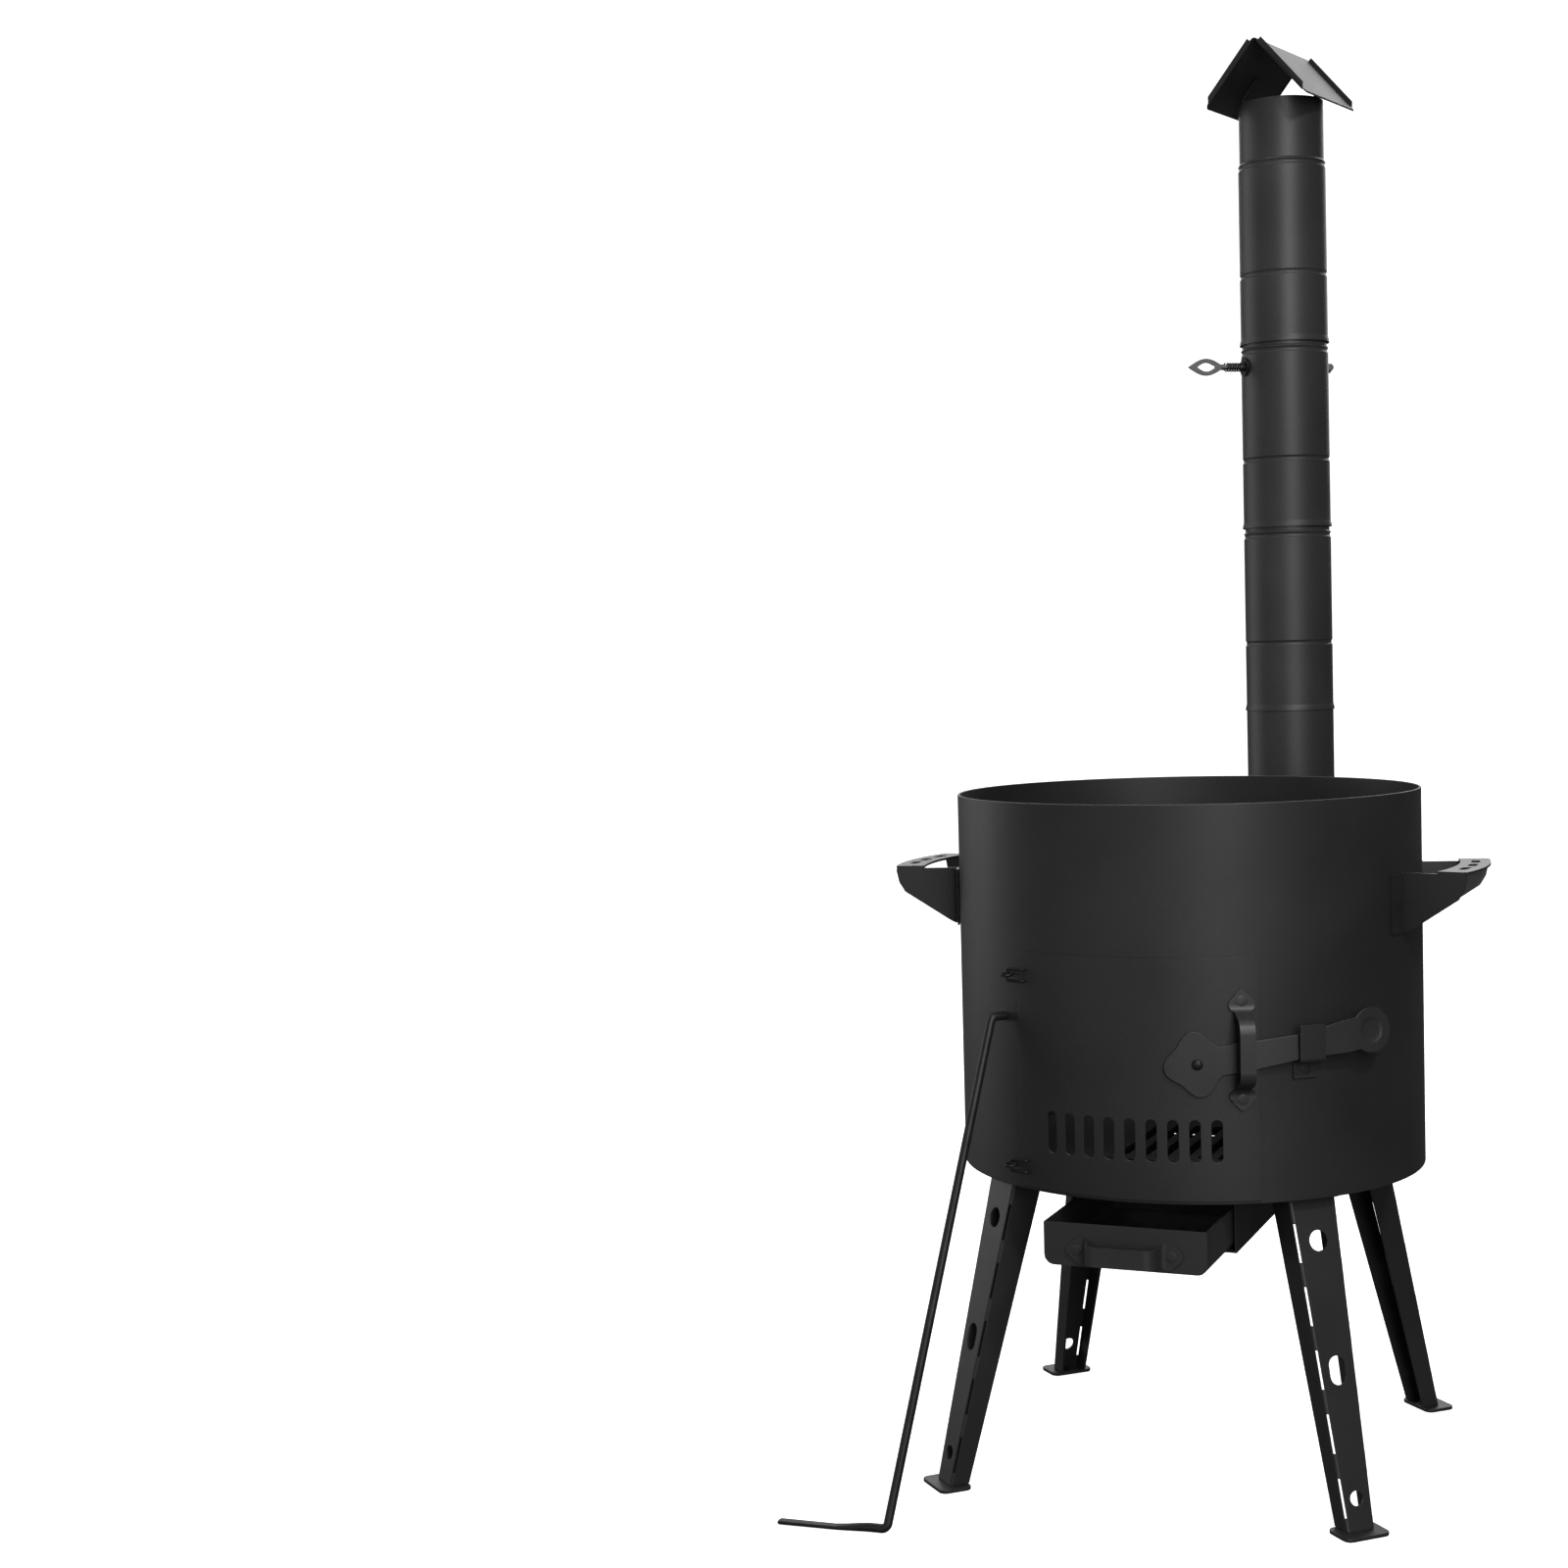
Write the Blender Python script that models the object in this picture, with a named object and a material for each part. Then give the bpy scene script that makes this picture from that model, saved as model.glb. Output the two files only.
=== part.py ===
"""A sheet-steel cauldron stove on four splayed legs.

The stove is an open-topped drum. A curved door hangs on two wire hinges at the front and is held by a
swinging latch bar. Ash falls through a grate into a drawer under the drum. The flue leaves at the back,
turns up through an elbow and carries three push-fit pipe sections, a damper and a folded rain cap.
A poker leans on the drum.

Metres, +Z up. Everything is drawn about the drum's axis and then moved, so that the origin lies on the
ground under the middle of the whole stove. The door faces -Y.
"""

import math

import bmesh
import bpy
from mathutils import Matrix, Vector

# The middle of the whole stove, measured from the drum's axis.
middle_x = -0.008
middle_y = 0.0967

# Drum: rolled sheet, open at the top, standing clear of the ground.
drum_radius = 0.190
drum_wall = 0.002
drum_bottom_z = 0.248
drum_height = 0.307
drum_sides = 72
bottom_plate_thickness = 0.003
bottom_plate_recess = 0.0015

# Gaps between pieces that touch, room round a shank in its hole, and how far a cut runs past its sheet.
seam_gap = 0.0003
hole_clearance = 0.0003
overrun = 0.010
bend_step = 0.011

# Grate over the ash opening in the bottom plate.
ash_opening_width = 0.098
ash_opening_length = 0.140
ash_opening_corner = 0.010
grate_border = 0.012
grate_thickness = 0.006
grate_slot_width = 0.008
grate_slot_pitch = 0.0165
grate_slots = 6
grate_end_bar = 0.016

# Fire door, its opening and its draught slots. Widths run along the drum's curve.
door_width = 0.200
door_height = 0.187
door_sill = 0.003
door_thickness = 0.002
door_corner_radius = 0.016
door_lap = 0.008
opening_corner_radius = 0.010
vent_slot_width = 0.0085
vent_slot_height = 0.033
vent_slot_pitch = 0.0165
vent_slots = 9
vent_slot_base = 0.030

# Door hinges: a wire eye on the drum and a wire staple on the door, linked on a vertical axis.
hinge_out = 0.0085
hinge_beside_door = 0.0045
hinge_lower_height = 0.016
hinge_upper_height = 0.168
hinge_wire_radius = 0.0012
hinge_eye_radius = 0.0043
hinge_eye_shank = 0.0085
hinge_eye_start_deg = 200.0
hinge_eye_sweep_deg = 318.0
hinge_eye_points = 13
hinge_staple_rise = 0.0045
hinge_staple_reach = 0.013
hinge_bend = 0.002

# Latch bar, turning on a rivet in the door and resting in the keeper on the drum.
latch_along = 0.052
latch_above_sill = 0.106
latch_tilt_deg = 8.6
latch_thickness = 0.002
latch_flat_half = 0.010
latch_curve_radius = 0.231
rosette_radius = 0.0228
rosette_wave = 0.0023
rosette_lobes = 4
bar_start_along = 0.018
bar_start_width = 0.024
bar_waist_along = 0.082
bar_waist_width = 0.019
bar_end_along = 0.118
bar_end_width = 0.025
disc_along = 0.141
disc_radius = 0.0175
dimple_radius = 0.010
dimple_depth = 0.0013

# Rivets: a domed head outside and a flat upset head inside.
rivet_shank_radius = 0.0020
rivet_head_radius = 0.0042
rivet_head_height = 0.0022
rivet_upset_radius = 0.0035
rivet_upset_height = 0.0010

# Keeper: a strip bent to a J, open at the top.
keeper_along = 0.136
keeper_width = 0.020
keeper_thickness = 0.002
keeper_tab_height = 0.013
keeper_lip_rise = 0.0275
keeper_play = 0.0006

# Strap pulls with pointed spade ends, one on the door and one on the drawer.
pull_along = 0.0855
pull_above_sill = 0.1165
door_pull_length = 0.093
door_pull_grip_width = 0.012
door_pull_spade_width = 0.0205
door_pull_opening = 0.058
door_pull_grip_length = 0.044
door_pull_stand = 0.020
drawer_pull_length = 0.092
drawer_pull_grip_width = 0.015
drawer_pull_spade_width = 0.020
drawer_pull_opening = 0.056
drawer_pull_grip_length = 0.050
drawer_pull_stand = 0.018
drawer_pull_drop = 0.0035
pull_thickness = 0.002

# Side carry handles: folded sheet with a slotted grip.
handle_top_below_rim = 0.061
handle_height = 0.049
handle_reach = 0.054
handle_half_angle_deg = 15.0
handle_grip_width = 0.024
handle_thickness = 0.002
handle_flange_width = 0.018
handle_slot_width = 0.007
handle_slot_length = 0.020
handle_slot_pitch_deg = 7.6
handle_slots = 3
handle_nose = 0.004
handle_toe_height = 0.022
handle_toe_inset = 0.007
handle_foot_reach = 0.008

# Ash drawer and the housing it runs in.
drawer_width = 0.128
drawer_height = 0.0335
drawer_length = 0.190
drawer_wall = 0.0015
drawer_corner_radius = 0.008
drawer_pulled_out = 0.083
housing_clearance = 0.0015
housing_floor_gap = 0.0005
housing_wall = 0.0015
housing_depth = 0.050
housing_setback = 0.060
housing_length = 0.200
housing_flange_width = 0.010

# Legs: tapered channels with slits along both folds, between a mounting plate and a foot plate.
foot_spread = 0.047
leg_top_inset = 0.012
leg_top_width = 0.042
leg_foot_width = 0.025
leg_top_flange = 0.026
leg_foot_flange = 0.017
leg_thickness = 0.002
leg_angle_deg = 45.0
leg_slits = 5
leg_slit_width = 0.0020
leg_upper_hole_radius = 0.0080
leg_upper_hole_z = 0.2145
leg_middle_slot_width = 0.014
leg_middle_slot_length = 0.022
leg_middle_slot_z = 0.119
leg_lower_hole_radius = 0.0056
leg_lower_hole_z = 0.0265
foot_plate_size = 0.040
foot_plate_thickness = 0.003
foot_plate_corner = 0.006
mount_plate_size = 0.046
mount_plate_inset = 0.017
bolt_radius = 0.003
bolt_head_radius = 0.0065
bolt_head_height = 0.003
bolt_nut_height = 0.005
bolt_inset = 0.018

# Flue: outlet collar, gored elbow and three equal push-fit sections.
flue_radius = 0.042
flue_wall = 0.001
flue_behind_drum = 0.230
flue_sides = 24
flue_spigot_gap = 0.0004
outlet_z = 0.440
collar_length = 0.040
collar_inside = 0.006
collar_flange_radius = 0.053
collar_flange_thickness = 0.0015
elbow_bend_radius = 0.095
elbow_gores = 5
elbow_top_z = 0.607
elbow_spigot_length = 0.055
section_pitch = 0.179
section_lower_groove = 0.066
section_upper_groove = 0.171
section_spigot_length = 0.057
groove_depth = 0.001
groove_width = 0.005
spigot_step = 0.0025
socket_flare = 0.0012
socket_flare_length = 0.006

# Damper in the middle section.
damper_above_socket = 0.157
damper_turn_deg = 37.5
damper_blade_radius = 0.0385
damper_blade_thickness = 0.0015
damper_spindle_radius = 0.0025
damper_sleeve_wall = 0.0012
damper_sleeve_length = 0.056
damper_washer_radius = 0.009
damper_washer_thickness = 0.0014
damper_spring_length = 0.0185
damper_spring_radius = 0.0038
damper_spring_wire = 0.0007
damper_spring_turns = 7
damper_spring_points = 8
damper_loop_length = 0.038
damper_loop_width = 0.0165
damper_loop_thickness = 0.0022
damper_loop_root = 0.003
damper_loop_hole_share = 0.5
damper_nut_radius = 0.0058
damper_nut_thickness = 0.0065
damper_end_length = 0.0025

# Rain cap: one sheet folded to a gable, with turned-up end lips, on two straps.
cap_above_flue = 0.054
cap_eave_drop = 0.060
cap_half_span = 0.052
cap_ridge_length = 0.118
cap_thickness = 0.0012
cap_lip_height = 0.005
cap_lip_setback = 0.005
cap_turn_deg = -12.5
cap_corner_radius = 0.005
strap_width = 0.012
strap_thickness = 0.0015
strap_inside_length = 0.030
strap_lap = 0.026

# Poker leaning on the drum.
poker_radius = 0.0035
poker_top_z = 0.384
poker_top_along = -0.1185
poker_hook_length = 0.013
poker_foot_left = 0.0534
poker_foot_forward = 0.1192
poker_toe_length = 0.088
poker_toe_turn_deg = 184.5
poker_toe_width = 0.008
poker_toe_thickness = 0.003
poker_bend_length = 0.012
ground_gap = 0.0005

# Outlines as shares of the piece that they belong to.
spade_length_shares = (1.0, 0.97, 0.80, 0.58, 0.40, 0.22, 0.08)
spade_width_shares = (0.10, 0.22, 0.58, 0.93, 1.0, 0.90, 0.68)
groove_place_shares = (-0.5, -0.2, 0.2, 0.5)
groove_depth_shares = (0.0, 1.0, 1.0, 0.0)
dimple_shares = ((0.0, 1.0), (0.5, 0.8), (1.0, 0.0))
corner_reach_share = 0.49
slit_first_share = 0.10
slit_pitch_share = 0.192
slit_length_share = 0.119

# Places that follow from the sizes above.
foot_circle_radius = drum_radius + foot_spread
leg_top_radius = drum_radius - leg_top_inset
flue_axis_y = drum_radius + flue_behind_drum
housing_front_y = -(drum_radius - housing_setback)
drum_top_z = drum_bottom_z + drum_height
bottom_plate_z = drum_bottom_z + bottom_plate_recess
bottom_plate_top_z = bottom_plate_z + bottom_plate_thickness
door_low_z = drum_bottom_z + door_sill
door_high_z = door_low_z + door_height
door_face = seam_gap + door_thickness
rivet_hole_radius = rivet_shank_radius + hole_clearance
hinge_along = -(door_width / 2 + hinge_beside_door)
latch_z = door_low_z + latch_above_sill
latch_turn = latch_along / drum_radius
latch_tilt = math.radians(latch_tilt_deg)
latch_back = door_face + seam_gap
pull_z = door_low_z + pull_above_sill
handle_top_z = drum_top_z - handle_top_below_rim
handle_outer_radius = drum_radius + handle_reach
handle_half_arc = math.radians(handle_half_angle_deg) * drum_radius
handle_rivet_arc = handle_half_arc + handle_flange_width / 2
handle_rivet_z = handle_top_z - handle_height / 2
housing_top_z = bottom_plate_z - seam_gap
housing_floor_z = housing_top_z - housing_depth
drawer_floor_z = housing_floor_z + housing_wall + housing_floor_gap
drawer_front_y = housing_front_y - drawer_pulled_out
drawer_pull_z = drawer_floor_z + drawer_height / 2 - drawer_pull_drop
mount_plate_z = bottom_plate_z - seam_gap - foot_plate_thickness
leg_low_z = foot_plate_thickness + seam_gap
leg_high_z = mount_plate_z - seam_gap
leg_bolt_radius = leg_top_radius - bolt_inset
leg_turns = [math.radians(leg_angle_deg + quarter * 90) for quarter in range(4)]
leg_names = ("rear_right", "rear_left", "front_left", "front_right")
spigot_radius = flue_radius - flue_wall - flue_spigot_gap
socket_z = [elbow_top_z + seam_gap + k * section_pitch for k in range(3)]
damper_z = socket_z[1] + damper_above_socket
damper_turn = math.radians(damper_turn_deg)
damper_outer_x = flue_radius + seam_gap
spigot_low = section_upper_groove + groove_width / 2 + spigot_step
flue_top_z = socket_z[2] + spigot_low + section_spigot_length
cap_ridge_z = flue_top_z + cap_above_flue


def clear_scene():
    for item in list(bpy.data.objects):
        bpy.data.objects.remove(item, do_unlink=True)


def finish_material(name, colour, roughness, metallic):
    material = bpy.data.materials.new(name)
    material.use_nodes = True
    shader = material.node_tree.nodes["Principled BSDF"]
    shader.inputs["Base Color"].default_value = (*colour, 1.0)
    shader.inputs["Roughness"].default_value = roughness
    shader.inputs["Metallic"].default_value = metallic
    return material


def tidy(shape):
    """Welds doubled points and turns every face outward."""
    bmesh.ops.remove_doubles(shape, verts=shape.verts, dist=seam_gap / 1000)
    bmesh.ops.recalc_face_normals(shape, faces=shape.faces)
    return shape


def moved(shape, matrix):
    bmesh.ops.transform(shape, matrix=matrix, verts=shape.verts)
    return shape


def place_piece(name, shape, material, origin=(0, 0, 0), turn_z=0.0):
    """Puts a finished shape in the scene, its own origin at the given place."""
    tidy(shape)
    mesh = bpy.data.meshes.new(name)
    shape.to_mesh(mesh)
    shape.free()
    mesh.materials.append(material)
    mesh.shade_smooth()
    mesh.set_sharp_from_angle(angle=math.radians(30))
    piece = bpy.data.objects.new(name, mesh)
    piece.location = origin
    piece.rotation_euler = (0, 0, turn_z)
    bpy.context.scene.collection.objects.link(piece)
    return piece


def about(shape, origin):
    """The same shape, drawn from a new origin."""
    return moved(shape, Matrix.Translation(-Vector(origin)))


def combine(first, second, operation):
    """The Boolean of two shapes, as a new shape. Both are used up."""
    stand_ins = []
    for shape in (first, second):
        tidy(shape)
        mesh = bpy.data.meshes.new("shape")
        shape.to_mesh(mesh)
        shape.free()
        stand_in = bpy.data.objects.new("shape", mesh)
        bpy.context.scene.collection.objects.link(stand_in)
        stand_ins.append(stand_in)
    modifier = stand_ins[0].modifiers.new("Combine", "BOOLEAN")
    modifier.operation = operation
    modifier.object = stand_ins[1]
    result = bmesh.new()
    result.from_object(stand_ins[0], bpy.context.evaluated_depsgraph_get())
    for stand_in in stand_ins:
        mesh = stand_in.data
        bpy.data.objects.remove(stand_in, do_unlink=True)
        bpy.data.meshes.remove(mesh)
    return result


def cut(shape, *cutters):
    for cutter in cutters:
        shape = combine(shape, cutter, "DIFFERENCE")
    return shape


def join(shape, *additions):
    for addition in additions:
        shape = combine(shape, addition, "UNION")
    return shape


def gathered(shapes):
    """Several cutters that don't touch, as one."""
    whole = bmesh.new()
    for shape in shapes:
        mesh = bpy.data.meshes.new("gathered")
        tidy(shape).to_mesh(mesh)
        shape.free()
        whole.from_mesh(mesh)
        bpy.data.meshes.remove(mesh)
    return whole


def arc(centre, radius, start_deg, end_deg, points):
    """Points of an arc in a flat drawing."""
    turns = [math.radians(start_deg + (end_deg - start_deg) * k / (points - 1)) for k in range(points)]
    return [(centre[0] + radius * math.cos(t), centre[1] + radius * math.sin(t)) for t in turns]


def rounded_rectangle(low, high, radius, points=4):
    outline = []
    corners = ((high[0], high[1], 0), (low[0], high[1], 90), (low[0], low[1], 180), (high[0], low[1], 270))
    for x, z, start in corners:
        inward_x = -radius if x == high[0] else radius
        inward_z = -radius if z == high[1] else radius
        outline += arc((x + inward_x, z + inward_z), radius, start, start + 90, points)
    return outline


def slot_outline(centre, width, length, points=5):
    """An upright slot with round ends."""
    reach = (length - width) / 2
    top = arc((centre[0], centre[1] + reach), width / 2, 0, 180, points)
    return top + arc((centre[0], centre[1] - reach), width / 2, 180, 360, points)


def bridge(shape, first, second):
    """The faces between two rings of as many points."""
    for k in range(len(first)):
        following = (k + 1) % len(first)
        shape.faces.new((first[k], first[following], second[following], second[k]))


def prism(outline, near, far, plane="XZ"):
    """A flat drawing given thickness between two depths, square to its plane."""
    across, up, deep = {"XZ": (0, 2, 1), "XY": (0, 1, 2), "YZ": (1, 2, 0)}[plane]
    shape = bmesh.new()
    rings = []
    for depth in (near, far):
        ring = []
        for point in outline:
            place = [0.0, 0.0, 0.0]
            place[across], place[up], place[deep] = point[0], point[1], depth
            ring.append(shape.verts.new(place))
        shape.faces.new(ring)
        rings.append(ring)
    bridge(shape, *rings)
    return tidy(shape)


def box(low, high):
    outline = [(low[0], low[2]), (high[0], low[2]), (high[0], high[2]), (low[0], high[2])]
    return prism(outline, low[1], high[1])


def turned(profile, sides, closed=True):
    """A profile of (radius, height) points spun round the Z axis. An open one ends on the axis."""
    shape = bmesh.new()
    ring = [shape.verts.new((radius, 0, height)) for radius, height in profile]
    pairs = zip(ring, ring[1:] + ring[:1] if closed else ring[1:])
    edges = [shape.edges.new(pair) for pair in pairs]
    geometry = ring + edges
    bmesh.ops.spin(
        shape, geom=geometry, cent=(0, 0, 0), axis=(0, 0, 1), angle=math.tau, steps=sides, use_merge=True
    )
    return tidy(shape)


def bar(start, end, radius, sides=24):
    """A plain round bar between two points."""
    start, end = Vector(start), Vector(end)
    shape = bmesh.new()
    bmesh.ops.create_cone(
        shape, cap_ends=True, segments=sides, radius1=radius, radius2=radius, depth=(end - start).length
    )
    turn = (end - start).to_track_quat("Z", "Y").to_matrix().to_4x4()
    return moved(shape, Matrix.Translation((start + end) / 2) @ turn)


def wrapped(shape, radius, flat_half=0.0):
    """Bends flat work round the Z axis: x becomes length round the curve and -y distance out.

    Within flat_half of the middle the work stays flat, and the curve starts from there."""
    reach = [vertex.co.x for vertex in shape.verts]
    for k in range(math.floor(min(reach) / bend_step), math.ceil(max(reach) / bend_step) + 1):
        geometry = shape.verts[:] + shape.edges[:] + shape.faces[:]
        bmesh.ops.bisect_plane(shape, geom=geometry, plane_co=(k * bend_step, 0, 0), plane_no=(1, 0, 0))
    for vertex in shape.verts:
        start = max(-flat_half, min(flat_half, vertex.co.x))
        turn = (vertex.co.x - start) / radius
        distance = radius - vertex.co.y
        vertex.co = (start + distance * math.sin(turn), -distance * math.cos(turn), vertex.co.z)
    return shape


def strip_outline(path, thickness):
    """The edge view of a bent strip: a path, and the same path offset to its left."""
    points = [Vector(point) for point in path]
    offset = []
    for k, here in enumerate(points):
        into = (here - points[k - 1]).normalized() if k else (points[1] - here).normalized()
        out = (points[k + 1] - here).normalized() if k < len(points) - 1 else into
        normal = (Vector((-into.y, into.x)) + Vector((-out.y, out.x))).normalized()
        offset.append(tuple(here + normal * thickness / normal.dot(Vector((-into.y, into.x)))))
    return list(path) + offset[::-1]


def eased(path, length):
    """A path of points with every inner corner rounded over a length."""
    points = [Vector(point) for point in path]
    smooth = [points[0]]
    for before, here, after in zip(points, points[1:], points[2:]):
        back, ahead = before - here, after - here
        start = here + back.normalized() * min(length, back.length * corner_reach_share)
        end = here + ahead.normalized() * min(length, ahead.length * corner_reach_share)
        for k in range(4):
            share = k / 3
            smooth.append(start * (1 - share) ** 2 + here * 2 * share * (1 - share) + end * share**2)
    return smooth + [points[-1]]


def wire(name, path, radius, material, resolution=2):
    """A round wire along a path of points, as a bevelled curve with filled ends."""
    curve = bpy.data.curves.new(name, "CURVE")
    curve.dimensions = "3D"
    curve.bevel_depth = radius
    curve.bevel_resolution = resolution
    curve.use_fill_caps = True
    spline = curve.splines.new("POLY")
    spline.points.add(len(path) - 1)
    for point, place in zip(spline.points, path):
        point.co = (*place, 1)
    curve.materials.append(material)
    piece = bpy.data.objects.new(name, curve)
    bpy.context.scene.collection.objects.link(piece)
    return piece


def shape_of(piece):
    """The mesh of a curve as a shape. The curve is used up."""
    mesh = bpy.data.meshes.new_from_object(piece.evaluated_get(bpy.context.evaluated_depsgraph_get()))
    shape = bmesh.new()
    shape.from_mesh(mesh)
    bpy.data.meshes.remove(mesh)
    bpy.data.objects.remove(piece, do_unlink=True)
    return tidy(shape)


def outward_at(along):
    turn = along / drum_radius
    return Vector((math.sin(turn), -math.cos(turn), 0))


def on_drum(along, out, z):
    """The place at an arc length round the drum from its front, a distance out from its surface."""
    return outward_at(along) * (drum_radius + out) + Vector((0, 0, z))


def drum_hole(along, z):
    """A cutter for a rivet hole, square to the drum's surface."""
    return bar(on_drum(along, -overrun, z), on_drum(along, overrun, z), rivet_hole_radius, 16)


def rivet(name, place, outward, grip, material):
    """A rivet through sheets that are grip thick together, its domed head above place."""
    turns = [math.radians(angle) for angle in (90, 45, 0)]
    profile = [(rivet_head_radius * math.cos(t), rivet_head_height * math.sin(t)) for t in turns]
    profile[0] = (0, rivet_head_height)
    profile += [(rivet_shank_radius, 0), (rivet_shank_radius, -grip)]
    profile += [(rivet_upset_radius, -grip), (rivet_upset_radius, -grip - rivet_upset_height)]
    profile += [(0, -grip - rivet_upset_height)]
    shape = turned(profile, 10, closed=False)
    turn = Vector(outward).to_track_quat("Z", "Y").to_matrix().to_4x4()
    return place_piece(name, moved(shape, turn), material, place)


def bar_half_width(along):
    """Half the width of the latch bar at a distance from its rivet."""
    if along < bar_waist_along:
        share = (along - bar_start_along) / (bar_waist_along - bar_start_along)
        return (bar_start_width + (bar_waist_width - bar_start_width) * share) / 2
    share = (along - bar_waist_along) / (bar_end_along - bar_waist_along)
    return (bar_waist_width + (bar_end_width - bar_waist_width) * share) / 2


def bar_outer_distance(along):
    """How far the latch bar's outer face stands off the drum, at a distance from its rivet."""
    base = drum_radius + latch_back
    turn = (along - latch_flat_half) / latch_curve_radius
    outer = latch_curve_radius + latch_thickness
    forward = base - latch_curve_radius + outer * math.cos(turn)
    sideways = latch_flat_half + outer * math.sin(turn)
    return math.hypot(forward, sideways) - drum_radius


keeper_reach = keeper_along - keeper_width / 2 - latch_along
keeper_under_bar = bar_half_width(keeper_reach) * math.cos(latch_tilt) + seam_gap
keeper_floor_z = latch_z + keeper_reach * math.tan(latch_tilt) - keeper_under_bar
keeper_rivet_z = keeper_floor_z - keeper_thickness - keeper_tab_height / 2


def build_drum():
    outer, inner = drum_radius, drum_radius - drum_wall
    profile = [(outer, drum_top_z), (outer, drum_bottom_z), (inner, drum_bottom_z), (inner, drum_top_z)]
    half = door_width / 2 - door_lap
    opening = rounded_rectangle(
        (-half, door_low_z + door_lap), (half, door_high_z - door_lap), opening_corner_radius
    )
    hole_radius = spigot_radius + hole_clearance
    flue_hole = bar((0, drum_radius / 2, outlet_z), (0, drum_radius * 2, outlet_z), hole_radius, flue_sides)
    quarter = math.tau / 4 * drum_radius
    holes = [drum_hole(keeper_along, keeper_rivet_z)]
    for side in (-quarter, quarter):
        for end in (-handle_rivet_arc, handle_rivet_arc):
            holes.append(drum_hole(side + end, handle_rivet_z))
    door_opening = wrapped(prism(opening, -overrun, overrun), drum_radius)
    shape = cut(turned(profile, drum_sides), door_opening, flue_hole, gathered(holes))
    place_piece("drum", shape, black_paint)


def build_bottom_plate():
    radius = drum_radius - drum_wall - seam_gap
    half_width, half_length = ash_opening_width / 2, ash_opening_length / 2
    opening = rounded_rectangle((-half_width, -half_length), (half_width, half_length), ash_opening_corner)
    holes = []
    for turn in leg_turns:
        place = Matrix.Rotation(turn, 3, "Z") @ Vector((leg_bolt_radius, 0, bottom_plate_z))
        rise = Vector((0, 0, overrun))
        holes.append(bar(place - rise, place + rise, bolt_radius + hole_clearance, 16))
    shape = cut(
        bar((0, 0, bottom_plate_z), (0, 0, bottom_plate_top_z), radius, drum_sides),
        prism(opening, bottom_plate_z - overrun, bottom_plate_top_z + overrun, "XY"),
        gathered(holes),
    )
    place_piece("bottom_plate", shape, black_paint)


def build_grate():
    low_z = bottom_plate_top_z + seam_gap
    high_z = low_z + grate_thickness
    half_width = ash_opening_width / 2 + grate_border
    half_length = ash_opening_length / 2 + grate_border
    outline = rounded_rectangle((-half_width, -half_length), (half_width, half_length), ash_opening_corner)
    slots = []
    for k in range(grate_slots):
        x = (k - (grate_slots - 1) / 2) * grate_slot_pitch
        slot = slot_outline((x, 0), grate_slot_width, 2 * (half_length - grate_end_bar))
        slots.append(prism(slot, low_z - overrun, high_z + overrun, "XY"))
    place_piece("fire_grate", cut(prism(outline, low_z, high_z, "XY"), gathered(slots)), cast_iron)


def build_door():
    half = door_width / 2
    corner_z = door_high_z - door_corner_radius
    outline = [(-half, door_low_z), (half, door_low_z)]
    outline += arc((half - door_corner_radius, corner_z), door_corner_radius, 0, 90, 6)
    outline += arc((door_corner_radius - half, corner_z), door_corner_radius, 90, 180, 6)
    slot_z = door_low_z + vent_slot_base + vent_slot_height / 2
    slots = []
    for k in range(vent_slots):
        x = (k - (vent_slots - 1) / 2) * vent_slot_pitch
        slots.append(prism(slot_outline((x, slot_z), vent_slot_width, vent_slot_height), -overrun, overrun))
    flat = cut(prism(outline, -seam_gap, -door_face), gathered(slots))
    holes = [drum_hole(latch_along, latch_z)]
    place = pull_rivet_place(door_pull_length, door_pull_opening)
    for end in (-1, 1):
        holes.append(drum_hole(pull_along, pull_z + end * place))
    pivot = on_drum(hinge_along, hinge_out, 0)
    shape = cut(wrapped(flat, drum_radius), gathered(holes))
    place_piece("door", about(shape, pivot), black_paint, pivot)


def build_hinges():
    """Each hinge is an eye, whose shank ends on the drum, and a staple that passes through it."""
    outward = outward_at(hinge_along)
    tangent = Vector((-outward.y, outward.x, 0))
    pivot = on_drum(hinge_along, hinge_out, 0)
    for label, height in (("lower", hinge_lower_height), ("upper", hinge_upper_height)):
        centre = pivot + Vector((0, 0, door_low_z + height))
        foot = hinge_along - hinge_eye_shank
        path = [on_drum(foot, seam_gap, centre.z), on_drum(foot, seam_gap + hinge_bend, centre.z)]
        for k in range(hinge_eye_points):
            turn = math.radians(hinge_eye_start_deg - hinge_eye_sweep_deg * k / (hinge_eye_points - 1))
            path.append(centre + hinge_eye_radius * (tangent * math.cos(turn) + outward * math.sin(turn)))
        wire(f"hinge_eye_{label}", path, hinge_wire_radius, dark_steel, 1)
        rise = Vector((0, 0, hinge_staple_rise))
        seat = on_drum(hinge_along + hinge_staple_reach, door_face + seam_gap, centre.z)
        leg = on_drum(hinge_along + hinge_staple_reach, door_face + seam_gap + hinge_bend, centre.z)
        corners = [seat + rise, leg + rise, centre + rise, centre - rise, leg - rise, seat - rise]
        path = eased(corners, hinge_bend)
        wire(f"hinge_staple_{label}", path, hinge_wire_radius, dark_steel, 1)


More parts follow.
